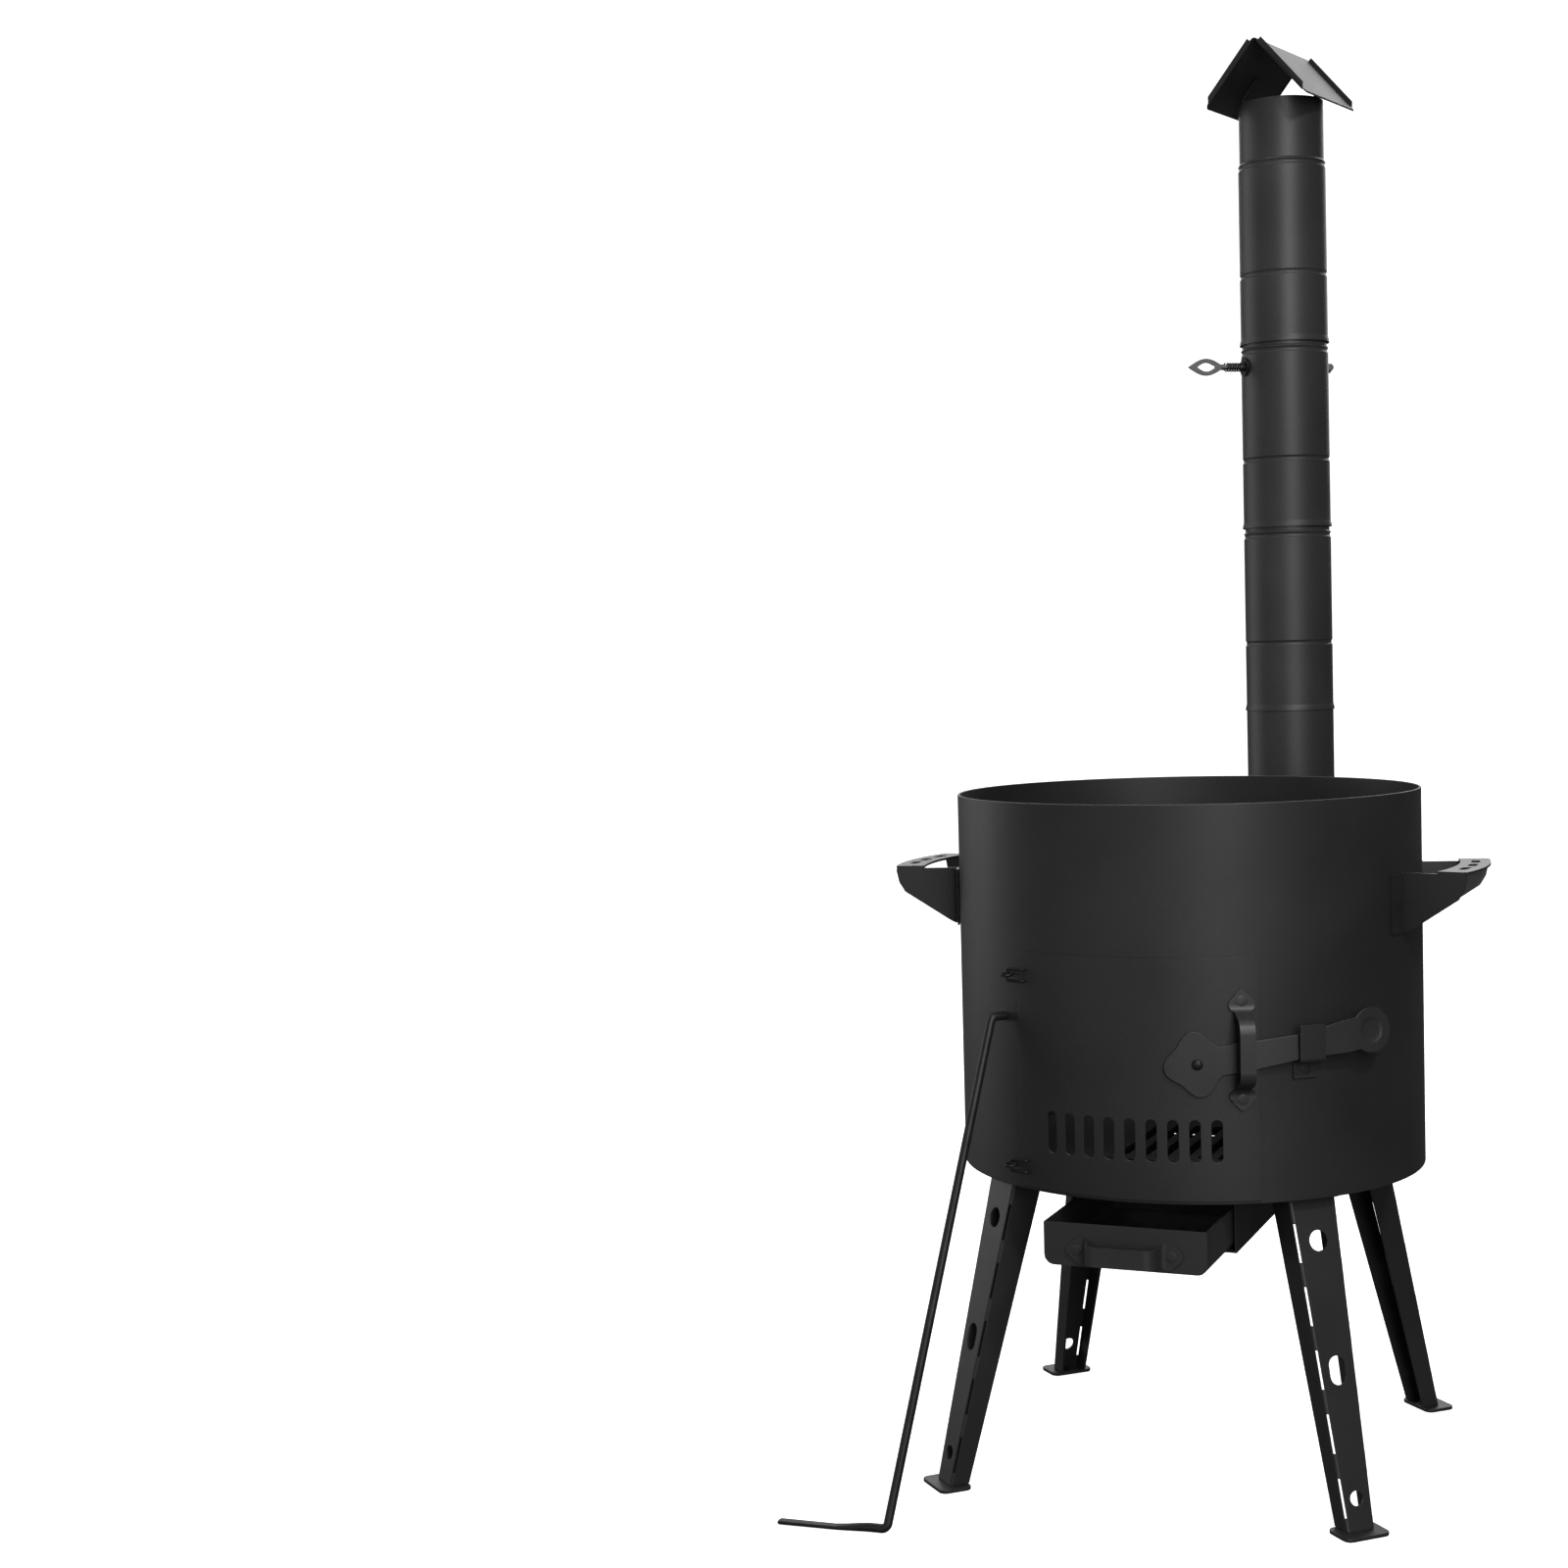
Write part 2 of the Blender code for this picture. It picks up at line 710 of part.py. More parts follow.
def build_latch():
    """The bar is cut along X, stays flat round its rivet, is rolled beyond, and hangs tilted on the door."""
    rosette = []
    first_turn = math.asin(bar_half_width(bar_start_along) / rosette_radius)
    for k in range(29):
        turn = first_turn + (math.tau - 2 * first_turn) * k / 28
        reach = rosette_radius + rosette_wave * math.cos(rosette_lobes * turn)
        rosette.append((reach * math.cos(turn), reach * math.sin(turn)))
    stations = (bar_waist_along / 2, bar_waist_along, bar_end_along)
    lower = [(along, -bar_half_width(along)) for along in stations]
    start_deg = 180 - math.degrees(math.asin(bar_end_width / 2 / disc_radius))
    disc = arc((disc_along, 0), disc_radius, -start_deg, start_deg, 17)
    outline = rosette + lower + disc + [(along, -half) for along, half in reversed(lower)]
    dish = [(dimple_radius * reach, -dimple_depth * depth) for reach, depth in dimple_shares]
    dish += [(dimple_radius, overrun), (0, overrun)]
    to_front = Matrix.Translation((disc_along, -latch_thickness, 0)) @ Matrix.Rotation(math.tau / 4, 4, "X")
    dimple = moved(turned(dish, 24, closed=False), to_front)
    hole = bar((0, -overrun, 0), (0, overrun, 0), rivet_hole_radius, 16)
    flat = cut(prism(outline, -latch_thickness, 0), dimple, hole)
    rolled = wrapped(flat, latch_curve_radius, latch_flat_half)
    shape = moved(rolled, Matrix.Translation((0, latch_curve_radius, 0)))
    turn = Matrix.Rotation(latch_turn, 4, "Z") @ Matrix.Rotation(-latch_tilt, 4, "Y")
    place_piece("latch_bar", moved(shape, turn), black_paint, on_drum(latch_along, latch_back, latch_z))
    head_out = latch_back + latch_thickness + seam_gap
    grip = head_out - seam_gap + seam_gap * 2
    rivet("latch_rivet", on_drum(latch_along, head_out, latch_z), outward_at(latch_along), grip, dark_steel)


def build_keeper():
    inner = bar_outer_distance(keeper_along + keeper_width / 2 - latch_along) + keeper_play
    outer = inner + keeper_thickness
    back = seam_gap
    foot_z = keeper_floor_z - keeper_thickness - keeper_tab_height
    profile = [
        (-back, foot_z),
        (-back, keeper_floor_z),
        (-inner, keeper_floor_z),
        (-inner, keeper_floor_z + keeper_lip_rise),
        (-outer, keeper_floor_z + keeper_lip_rise),
        (-outer, keeper_floor_z - keeper_thickness),
        (-back - keeper_thickness, keeper_floor_z - keeper_thickness),
        (-back - keeper_thickness, foot_z),
    ]
    flat = prism(profile, keeper_along - keeper_width / 2, keeper_along + keeper_width / 2, "YZ")
    shape = cut(wrapped(flat, drum_radius), drum_hole(keeper_along, keeper_rivet_z))
    place_piece("keeper", shape, black_paint)
    head_out = back + keeper_thickness + seam_gap
    place = on_drum(keeper_along, head_out, keeper_rivet_z)
    rivet("keeper_rivet", place, outward_at(keeper_along), head_out + drum_wall + seam_gap, black_paint)


def pull_rivet_place(length, opening):
    """How far a strap pull's rivets lie from its middle: half way along each spade."""
    return (length + opening) / 4


def strap_pull(length, opening, grip_length, grip_width, spade_width, stand):
    """A strap pull along X, its back on the plane y = 0, with spade ends and rivet holes."""
    path = [(length / 2, 0), (opening / 2, 0), (grip_length / 2, -stand)]
    path += [(-x, y) for x, y in reversed(path)]
    strip = prism(strip_outline(path, pull_thickness), -spade_width, spade_width, "XY")
    spade = (length - opening) / 2
    half = [
        (opening / 2 + spade * along, spade_width / 2 * across)
        for along, across in zip(spade_length_shares, spade_width_shares)
    ]
    half += [(opening / 2, grip_width / 2)]
    right = [(x, -z) for x, z in reversed(half)] + half
    outline = right + [(-x, -z) for x, z in right]
    shape = combine(strip, prism(outline, -stand - overrun, overrun), "INTERSECT")
    place = pull_rivet_place(length, opening)
    holes = [bar((x, -overrun, 0), (x, overrun, 0), rivet_hole_radius, 16) for x in (-place, place)]
    return cut(shape, gathered(holes))


def build_door_pull():
    shape = strap_pull(
        door_pull_length,
        door_pull_opening,
        door_pull_grip_length,
        door_pull_grip_width,
        door_pull_spade_width,
        door_pull_stand,
    )
    upright = Matrix.Rotation(-math.tau / 4, 4, "Y")
    turn = Matrix.Rotation(pull_along / drum_radius, 4, "Z")
    origin = on_drum(pull_along, door_face + seam_gap, pull_z)
    place_piece("door_pull", moved(shape, turn @ upright), black_paint, origin)
    head_out = door_face + seam_gap + pull_thickness + seam_gap
    for label, end in (("lower", -1), ("upper", 1)):
        z = pull_z + end * pull_rivet_place(door_pull_length, door_pull_opening)
        place = on_drum(pull_along, head_out, z)
        rivet(f"door_pull_rivet_{label}", place, outward_at(pull_along), head_out, black_paint)


def build_handle(name, side):
    """One carry handle, drawn at the front and then turned to its side of the drum."""
    half_turn = math.radians(handle_half_angle_deg)
    near = drum_radius + seam_gap
    inner = handle_outer_radius - handle_grip_width
    low_z = handle_top_z - handle_height
    grip_z = handle_top_z - handle_thickness
    sunk = handle_thickness / 2
    spread = handle_half_angle_deg - math.degrees(sunk / handle_outer_radius)
    outline = arc((0, 0), handle_outer_radius, -90 - spread, -90 + spread, 9)
    outline += arc((0, 0), inner, -90 + spread, -90 - spread, 9)
    slots = []
    for k in range(handle_slots):
        turn = math.radians((k - (handle_slots - 1) / 2) * handle_slot_pitch_deg)
        middle = -(inner + handle_outer_radius) / 2
        slot = prism(slot_outline((0, 0), handle_slot_width, handle_slot_length), -overrun, overrun, "XY")
        place = Matrix.Translation((0, middle, grip_z)) @ Matrix.Rotation(math.tau / 4, 4, "Z")
        slots.append(moved(slot, Matrix.Rotation(turn, 4, "Z") @ place))
    grip = cut(prism(outline, grip_z, handle_top_z, "XY"), gathered(slots))
    gusset = [
        (-near - sunk, grip_z),
        (-inner - sunk, grip_z),
        (-inner - sunk, handle_top_z),
        (-handle_outer_radius + handle_nose, handle_top_z),
        (-handle_outer_radius, handle_top_z - handle_nose),
        (-handle_outer_radius + handle_toe_inset, handle_top_z - handle_toe_height),
        (-near - handle_foot_reach, low_z + handle_nose / 2),
        (-near - handle_foot_reach / 2, low_z),
        (-near - sunk, low_z),
    ]
    shape = grip
    for end in (-1, 1):
        plate = prism(gusset, 0, -end * handle_thickness, "YZ")
        shape = join(shape, moved(plate, Matrix.Rotation(end * half_turn, 4, "Z")))
        start = end * (handle_half_arc - handle_thickness - sunk)
        stop = end * (handle_half_arc + handle_flange_width)
        flange = box(
            (min(start, stop), -seam_gap - handle_thickness, low_z), (max(start, stop), -seam_gap, grip_z)
        )
        shape = join(shape, wrapped(flange, drum_radius))
    holes = [drum_hole(end * handle_rivet_arc, handle_rivet_z) for end in (-1, 1)]
    shape = cut(shape, gathered(holes))
    quarter = side * math.tau / 4
    place_piece(name, shape, black_paint, turn_z=quarter)
    head_out = seam_gap + handle_thickness + seam_gap
    for label, end in (("front", -side), ("rear", side)):
        along = quarter * drum_radius + end * handle_rivet_arc
        place = on_drum(along, head_out, handle_rivet_z)
        rivet(f"{name}_rivet_{label}", place, outward_at(along), head_out + drum_wall + seam_gap, black_paint)


def build_housing():
    half = drawer_width / 2 + housing_clearance
    outer = half + housing_wall
    front, back = housing_front_y, housing_front_y + housing_length
    shape = join(
        box((-outer, front, housing_floor_z), (outer, back, housing_top_z)),
        box(
            (-outer - housing_flange_width, front, housing_top_z - housing_wall),
            (outer + housing_flange_width, back, housing_top_z),
        ),
    )
    low = (-half, front - overrun, housing_floor_z + housing_wall)
    high = (half, back - housing_wall, housing_top_z + overrun)
    place_piece("drawer_housing", cut(shape, box(low, high)), black_paint)


def drawer_profile(inset):
    """The drawer's end view with its two rounded lower corners, drawn in by an inset."""
    half = drawer_width / 2 - inset
    low = drawer_floor_z + inset
    high = drawer_floor_z + drawer_height + (overrun if inset else 0)
    radius = drawer_corner_radius - inset
    left = arc((radius - half, low + radius), radius, 180, 270, 5)
    right = arc((half - radius, low + radius), radius, 270, 360, 5)
    return [(-half, high)] + left + right + [(half, high)]


def build_drawer():
    front, back = drawer_front_y, drawer_front_y + drawer_length
    hollow = prism(drawer_profile(drawer_wall), front + drawer_wall, back - drawer_wall)
    tray = cut(prism(drawer_profile(0), front, back), hollow)
    place = pull_rivet_place(drawer_pull_length, drawer_pull_opening)
    holes = []
    for x in (-place, place):
        start = (x, front - overrun, drawer_pull_z)
        holes.append(bar(start, (x, front + overrun, drawer_pull_z), rivet_hole_radius, 16))
    origin = (0, front, drawer_floor_z)
    place_piece("ash_drawer", about(cut(tray, gathered(holes)), origin), black_paint, origin)
    shape = strap_pull(
        drawer_pull_length,
        drawer_pull_opening,
        drawer_pull_grip_length,
        drawer_pull_grip_width,
        drawer_pull_spade_width,
        drawer_pull_stand,
    )
    place_piece("drawer_pull", shape, black_paint, (0, front - seam_gap, drawer_pull_z))
    head_out = seam_gap + pull_thickness + seam_gap
    for label, x in (("left", -place), ("right", place)):
        seat = (x, front - head_out, drawer_pull_z)
        rivet(f"drawer_pull_rivet_{label}", seat, (0, -1, 0), head_out + drawer_wall + seam_gap, black_paint)


def leg_section(z):
    """The channel's outline at a height: the web faces outward and the flanges point inward."""
    share = (z - leg_low_z) / (leg_high_z - leg_low_z)
    web = foot_circle_radius + (leg_top_radius - foot_circle_radius) * share
    half = (leg_foot_width + (leg_top_width - leg_foot_width) * share) / 2
    flange = leg_foot_flange + (leg_top_flange - leg_foot_flange) * share
    wall = leg_thickness
    side = [(web, half), (web - flange, half), (web - flange, half - wall), (web - wall, half - wall)]
    return side + [(x, -y) for x, y in reversed(side)]


def fold_slit(low, high, side):
    """The cutter for one narrow slit, straight through a fold of the channel between two heights."""
    outward = Vector((1, side, 0)).normalized() * overrun
    across = Vector((1, -side, 0)).normalized() * leg_slit_width / 2
    shape = bmesh.new()
    rings = []
    for place in (low, high):
        steps = (outward + across, outward - across, -outward - across, -outward + across)
        ring = [shape.verts.new(place + step) for step in steps]
        shape.faces.new(ring)
        rings.append(ring)
    bridge(shape, *rings)
    return tidy(shape)


def leg_shape():
    shape = bmesh.new()
    rings = []
    for z in (leg_low_z, leg_high_z):
        ring = [shape.verts.new((x, y, z)) for x, y in leg_section(z)]
        shape.faces.new(ring)
        rings.append(ring)
    bridge(shape, *rings)
    slope = math.atan2(foot_circle_radius - leg_top_radius, leg_high_z - leg_low_z)
    square = Vector((math.cos(slope), 0, math.sin(slope))) * overrun
    cutters = []
    for z, radius in ((leg_upper_hole_z, leg_upper_hole_radius), (leg_lower_hole_z, leg_lower_hole_radius)):
        centre = Vector((leg_section(z)[0][0], 0, z))
        cutters.append(bar(centre - square, centre + square, radius, 16))
    centre = Vector((leg_section(leg_middle_slot_z)[0][0], 0, leg_middle_slot_z))
    slot = prism(slot_outline((0, 0), leg_middle_slot_width, leg_middle_slot_length), -overrun, overrun, "YZ")
    cutters.append(moved(slot, Matrix.Translation(centre) @ Matrix.Rotation(-slope, 4, "Y")))
    for side in (0, -1):
        low = Vector((*leg_section(leg_low_z)[side], leg_low_z))
        high = Vector((*leg_section(leg_high_z)[side], leg_high_z))
        for k in range(leg_slits):
            middle = slit_first_share + k * slit_pitch_share
            start = low.lerp(high, middle - slit_length_share / 2)
            end = low.lerp(high, middle + slit_length_share / 2)
            cutters.append(fold_slit(start, end, math.copysign(1, low.y)))
    return cut(tidy(shape), gathered(cutters))


def build_legs():
    """The four legs share one channel, turned to each corner, with their plates and bolts."""
    channel = bpy.data.meshes.new("leg_channel")
    pattern = tidy(leg_shape())
    pattern.to_mesh(channel)
    pattern.free()
    channel.materials.append(black_paint)
    channel.shade_flat()
    foot_half, mount_half = foot_plate_size / 2, mount_plate_size / 2
    mount_centre = leg_top_radius - mount_plate_inset
    hole_radius = bolt_radius + hole_clearance
    for name, turn in zip(leg_names, leg_turns):
        leg = bpy.data.objects.new(f"leg_{name}", channel)
        leg.rotation_euler = (0, 0, turn)
        bpy.context.scene.collection.objects.link(leg)
        low, high = (foot_circle_radius - foot_half, -foot_half), (foot_circle_radius + foot_half, foot_half)
        foot = rounded_rectangle(low, high, foot_plate_corner)
        plate = prism(foot, 0, foot_plate_thickness, "XY")
        place_piece(f"foot_plate_{name}", plate, black_paint, turn_z=turn)
        low, high = (mount_centre - mount_half, -mount_half), (mount_centre + mount_half, mount_half)
        mount = rounded_rectangle(low, high, foot_plate_corner)
        plate = prism(mount, mount_plate_z, mount_plate_z + foot_plate_thickness, "XY")
        low = Vector((leg_bolt_radius, 0, mount_plate_z - overrun))
        plate = cut(plate, bar(low, low + Vector((0, 0, 2 * overrun)), hole_radius, 12))
        place_piece(f"mounting_plate_{name}", plate, black_paint, turn_z=turn)
        head_z = bottom_plate_top_z + seam_gap
        nut_z = mount_plate_z - seam_gap
        profile = [
            (0, head_z + bolt_head_height),
            (bolt_head_radius, head_z + bolt_head_height),
            (bolt_head_radius, head_z),
            (bolt_radius, head_z),
            (bolt_radius, nut_z),
            (bolt_head_radius, nut_z),
            (bolt_head_radius, nut_z - bolt_nut_height),
            (0, nut_z - bolt_nut_height),
        ]
        bolt = moved(turned(profile, 12, closed=False), Matrix.Translation((leg_bolt_radius, 0, 0)))
        place_piece(f"leg_bolt_{name}", bolt, dark_steel, turn_z=turn)


def build_collar():
    """A short tube through the drum's back wall, with a saddle flange that follows the curve."""
    disc = arc((0, outlet_z), collar_flange_radius, 0, 348.75, 32)
    saddle = wrapped(prism(disc, -seam_gap - collar_flange_thickness, -seam_gap), drum_radius)
    moved(saddle, Matrix.Rotation(math.pi, 4, "Z"))
    inside = (0, drum_radius - drum_wall - collar_inside, outlet_z)
    end = (0, drum_radius + collar_length, outlet_z)
    shape = join(saddle, bar(inside, end, spigot_radius, flue_sides))
    past_end = (0, drum_radius + collar_length + overrun, outlet_z)
    bore = bar((0, 0, outlet_z), past_end, spigot_radius - flue_wall, flue_sides)
    place_piece("outlet_collar", cut(shape, bore), black_paint)


def build_elbow():
    """A gored elbow: straight from the collar, five mitred gores, and a spigot for the first section."""
    bend_centre = Vector((0, flue_axis_y - elbow_bend_radius, outlet_z + elbow_bend_radius))
    start_y = drum_radius + seam_gap + collar_flange_thickness + seam_gap
    level, upright = Vector((0, 1, 0)), Vector((0, 0, 1))
    corners = []
    half_gore = math.tau / 8 / elbow_gores
    for k in range(elbow_gores):
        turn = (2 * k + 1) * half_gore
        reach = elbow_bend_radius / math.cos(half_gore)
        corners.append(bend_centre + Vector((0, math.sin(turn), -math.cos(turn))) * reach)
    top = Vector((0, flue_axis_y, elbow_top_z))
    stations = [(Vector((0, start_y, outlet_z)), level, level, flue_radius)]
    for k, corner in enumerate(corners):
        before = corners[k - 1] if k else Vector((0, start_y, outlet_z))
        after = corners[k + 1] if k < elbow_gores - 1 else top
        into, out = (corner - before).normalized(), (after - corner).normalized()
        stations.append((corner, into, (into + out).normalized(), flue_radius))
    stations.append((top, upright, upright, flue_radius))
    stations.append((top + upright * spigot_step, upright, upright, spigot_radius))
    stations.append((top + upright * (spigot_step + elbow_spigot_length), upright, upright, spigot_radius))
    shape = bmesh.new()
    walls = []
    for inset in (0, flue_wall):
        rings = []
        for centre, along, normal, radius in stations:
            sideways = along.cross(Vector((1, 0, 0)))
            ring = []
            for k in range(flue_sides):
                turn = math.tau * k / flue_sides
                facing = Vector((1, 0, 0)) * math.cos(turn) + sideways * math.sin(turn)
                offset = facing * (radius - inset)
                slide = offset.dot(normal) / along.dot(normal)
                ring.append(shape.verts.new(centre + offset - along * slide))
            rings.append(ring)
        walls.append(rings)
    for rings in walls:
        for first, second in zip(rings, rings[1:]):
            bridge(shape, first, second)
    for end in (0, -1):
        bridge(shape, walls[0][end], walls[1][end])
    place_piece("flue_elbow", shape, black_paint)


def section_wall(inset):
    """One side of a pipe section's wall from its socket up: a flare, two rolled grooves and a spigot."""
    body = flue_radius - inset
    wall = [(body + socket_flare, 0), (body + socket_flare / 3, socket_flare_length / 2)]
    wall.append((body, socket_flare_length))
    for groove in (section_lower_groove, section_upper_groove):
        for place, depth in zip(groove_place_shares, groove_depth_shares):
            wall.append((body - groove_depth * depth, groove + groove_width * place))
    spigot = spigot_radius - inset
    return wall + [(spigot, spigot_low), (spigot, spigot_low + section_spigot_length)]


def build_sections():
    """Three equal sections. The damper's spindle runs through the middle one."""
    profile = section_wall(0) + section_wall(flue_wall)[::-1]
    across = Vector((math.cos(damper_turn), math.sin(damper_turn), 0)) * flue_radius * 2
    for name, low_z in zip(("lower", "middle", "upper"), socket_z):
        shape = turned(profile, flue_sides)
        if name == "middle":
            centre = Vector((0, 0, damper_above_socket))
            hole_radius = damper_spindle_radius + hole_clearance
            shape = cut(shape, bar(centre - across, centre + across, hole_radius, 16))
        place_piece(f"flue_section_{name}", shape, black_paint, (0, flue_axis_y, low_z))


def ring_on_spindle(start_x, thickness, radius, sides):
    """A washer or nut with a hole for the spindle, lying along X."""
    end_x = start_x + thickness
    bore_radius = damper_spindle_radius + hole_clearance
    bore = bar((start_x - overrun, 0, 0), (end_x + overrun, 0, 0), bore_radius, 16)
    return cut(bar((start_x, 0, 0), (end_x, 0, 0), radius, sides), bore)


def build_damper():
    """Drawn along X from the spindle's middle, which is the joint, and turned about the flue's axis."""
    origin = (0, flue_axis_y, damper_z)
    half = damper_blade_thickness / 2
    sleeve = damper_spindle_radius + hole_clearance + damper_sleeve_wall
    reach = damper_sleeve_length / 2
    disc = bar((0, -half, 0), (0, half, 0), damper_blade_radius, flue_sides)
    blade = join(disc, bar((-reach, 0, 0), (reach, 0, 0), sleeve, 16))
    bore = bar((-flue_radius, 0, 0), (flue_radius, 0, 0), damper_spindle_radius + hole_clearance, 16)
    place_piece("damper_blade", cut(blade, bore), dark_steel, origin, damper_turn)
    washer_x = damper_outer_x + damper_washer_thickness
    spring_x = washer_x + seam_gap + damper_spring_wire
    root_x = spring_x + damper_spring_length + damper_spring_wire + seam_gap
    nut_x = damper_outer_x
    end_x = nut_x + damper_nut_thickness + damper_end_length
    half_loop = []
    for k in range(13):
        share = k / 12
        half_width = max(damper_loop_root * (1 - share), damper_loop_width / 2 * math.sin(math.pi * share))
        half_loop.append((-root_x - damper_loop_length * share, half_width))
    outline = half_loop[:-1] + [(-root_x - damper_loop_length, 0)]
    outline += [(x, -z) for x, z in reversed(half_loop[:-1])]
    loop = prism(outline, -damper_loop_thickness / 2, damper_loop_thickness / 2)
    middle, share = -root_x - damper_loop_length / 2, damper_loop_hole_share
    lens = [(middle + (x - middle) * share, z * share) for x, z in outline]
    loop = cut(loop, prism(lens, -overrun, overrun))
    rod = bar((-root_x - damper_loop_root, 0, 0), (end_x, 0, 0), damper_spindle_radius, 16)
    place_piece("damper_spindle", join(rod, loop), zinc, origin, damper_turn)
    washer = ring_on_spindle(-washer_x, damper_washer_thickness, damper_washer_radius, 16)
    place_piece("damper_washer", washer, zinc, origin, damper_turn)
    nut = ring_on_spindle(nut_x, damper_nut_thickness, damper_nut_radius, 6)
    place_piece("damper_nut", nut, zinc, origin, damper_turn)
    path = []
    steps = damper_spring_turns * damper_spring_points
    for k in range(steps + 1):
        turn = math.tau * k / damper_spring_points
        place = Vector((-spring_x - damper_spring_length * k / steps, 0, 0))
        path.append(place + Vector((0, math.cos(turn), math.sin(turn))) * damper_spring_radius)
    gap = damper_spring_length / damper_spring_turns - 2 * damper_spring_wire
    print(f"damper spring: {damper_spring_turns} turns, least gap to itself {gap * 1000:.2f} mm")
    spring = wire("damper_spring", path, damper_spring_wire, zinc, 1)
    spring.location = origin
    spring.rotation_euler = (0, 0, damper_turn)


def build_cap():
    """The gable is drawn with its ridge along Y, then turned and set over the flue."""
    run = math.hypot(cap_half_span, cap_eave_drop)
    down = Vector((cap_half_span, -cap_eave_drop)) / run
    square = Vector((-down.y, down.x))
    ends = [(cap_half_span, -cap_eave_drop), (0, 0), (-cap_half_span, -cap_eave_drop)]
    length = cap_ridge_length / 2
    sheet = prism(strip_outline(ends, -cap_thickness), -length, length)
    mask = rounded_rectangle((-cap_half_span, -length), (cap_half_span, length), cap_corner_radius)
    shape = combine(sheet, prism(mask, -cap_eave_drop * 2, cap_eave_drop, "XY"), "INTERSECT")
    first, last = down * cap_lip_setback, down * (run - cap_corner_radius)
    rise, root = square * cap_lip_height, square * cap_thickness / 2
    lip = [first - root, last - root, last + rise - down * cap_lip_setback, first + rise]
    for side in (-1, 1):
        outline = [(side * point.x, point.y) for point in lip]
        for end in (-1, 1):
            shape = join(shape, prism(outline, end * length, end * (length - cap_thickness)))
    turn = Matrix.Rotation(math.radians(cap_turn_deg), 4, "Z")
    place_piece("rain_cap", moved(shape, turn), black_paint, (0, flue_axis_y, cap_ridge_z))
    build_cap_straps(down, turn)


def build_cap_straps(down, turn):
    bore = (spigot_radius - flue_wall) * math.cos(math.pi / flue_sides)
    outer_x = math.sqrt(bore**2 - (strap_width / 2) ** 2) - seam_gap
    low_z = flue_top_z - strap_inside_length - cap_ridge_z
    under_gap = seam_gap / (-down.y / math.hypot(*down)) * 2
    bend_z = outer_x * down.y / down.x - under_gap
    end = Vector((outer_x, bend_z)) - down * strap_lap
    path = [(outer_x, low_z), (outer_x, bend_z), tuple(end)]
    for label, side in (("left", -1), ("right", 1)):
        outline = [(side * x, z) for x, z in strip_outline(path, strap_thickness)]
        strap = prism(outline, -strap_width / 2, strap_width / 2)
        place_piece(f"cap_strap_{label}", moved(strap, turn), black_paint, (0, flue_axis_y, cap_ridge_z))


def build_poker():
    """A round rod with a flattened toe on the ground and its top end turned in against the drum."""
    top = on_drum(poker_top_along, poker_hook_length, poker_top_z)
    foot = Vector((top.x - poker_foot_left, top.y - poker_foot_forward, ground_gap + poker_radius))
    turn = math.radians(poker_toe_turn_deg)
    toeward = Vector((math.cos(turn), math.sin(turn), 0))
    heel = foot + toeward * poker_toe_length / 4
    tip = on_drum(poker_top_along, seam_gap, poker_top_z)
    path = eased([heel, foot, top, tip], poker_bend_length)
    rod = shape_of(wire("poker_rod", path, poker_radius, dark_steel))
    half, neck = poker_toe_width / 2, poker_radius
    outline = [(0, -neck), (poker_toe_length, -half), (poker_toe_length, half), (0, neck)]
    toe = prism(outline, ground_gap, ground_gap + poker_toe_thickness, "XY")
    moved(toe, Matrix.Translation((foot.x, foot.y, 0)) @ Matrix.Rotation(turn, 4, "Z"))
    place_piece("poker", join(rod, toe), dark_steel)


def centre_everything():
    for piece in bpy.context.scene.objects:
        piece.location -= Vector((middle_x, middle_y, 0))


clear_scene()
black_paint = finish_material("black_heat_paint", (0.028, 0.028, 0.030), 0.52, 0.0)
zinc = finish_material("zinc_plate", (0.42, 0.42, 0.43), 0.42, 1.0)
cast_iron = finish_material("cast_iron", (0.035, 0.033, 0.032), 0.75, 0.6)
dark_steel = finish_material("dark_steel", (0.09, 0.09, 0.095), 0.48, 0.9)
build_drum()
build_bottom_plate()
build_grate()
build_door()
build_hinges()
build_latch()
build_keeper()
build_door_pull()
build_handle("handle_left", -1)
build_handle("handle_right", 1)
build_housing()
build_drawer()
build_legs()
build_collar()
build_elbow()
build_sections()
build_damper()
build_cap()
build_poker()
centre_everything()
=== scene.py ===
from math import asin, atan2, ceil, copysign, cos, degrees, floor, hypot, pi, radians, sin, sqrt, tan, tau

import bmesh
import bpy
from mathutils import Matrix, Vector


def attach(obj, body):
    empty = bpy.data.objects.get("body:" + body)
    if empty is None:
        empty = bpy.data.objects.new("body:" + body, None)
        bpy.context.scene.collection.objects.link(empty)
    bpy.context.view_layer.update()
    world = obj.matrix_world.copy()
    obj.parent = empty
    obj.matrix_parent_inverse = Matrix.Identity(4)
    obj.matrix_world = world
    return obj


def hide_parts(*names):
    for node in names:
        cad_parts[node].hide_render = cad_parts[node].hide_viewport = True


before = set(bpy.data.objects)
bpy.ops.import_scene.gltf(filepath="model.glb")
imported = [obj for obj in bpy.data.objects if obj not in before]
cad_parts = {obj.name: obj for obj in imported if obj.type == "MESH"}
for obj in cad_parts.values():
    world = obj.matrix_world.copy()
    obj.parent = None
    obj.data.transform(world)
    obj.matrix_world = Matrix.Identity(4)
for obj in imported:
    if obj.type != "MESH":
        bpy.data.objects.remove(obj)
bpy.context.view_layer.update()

# The drum: one sheet of 2 mm steel rolled to a tube and welded, open at the top for the cauldron. The
# door opening and the flue hole are cut in it, and the whole stove is sprayed with black stove enamel.
# Everything is drawn about the drum's axis, which stands here, and faces -Y.
stove_axis = Vector((0.008, -0.0967, 0))
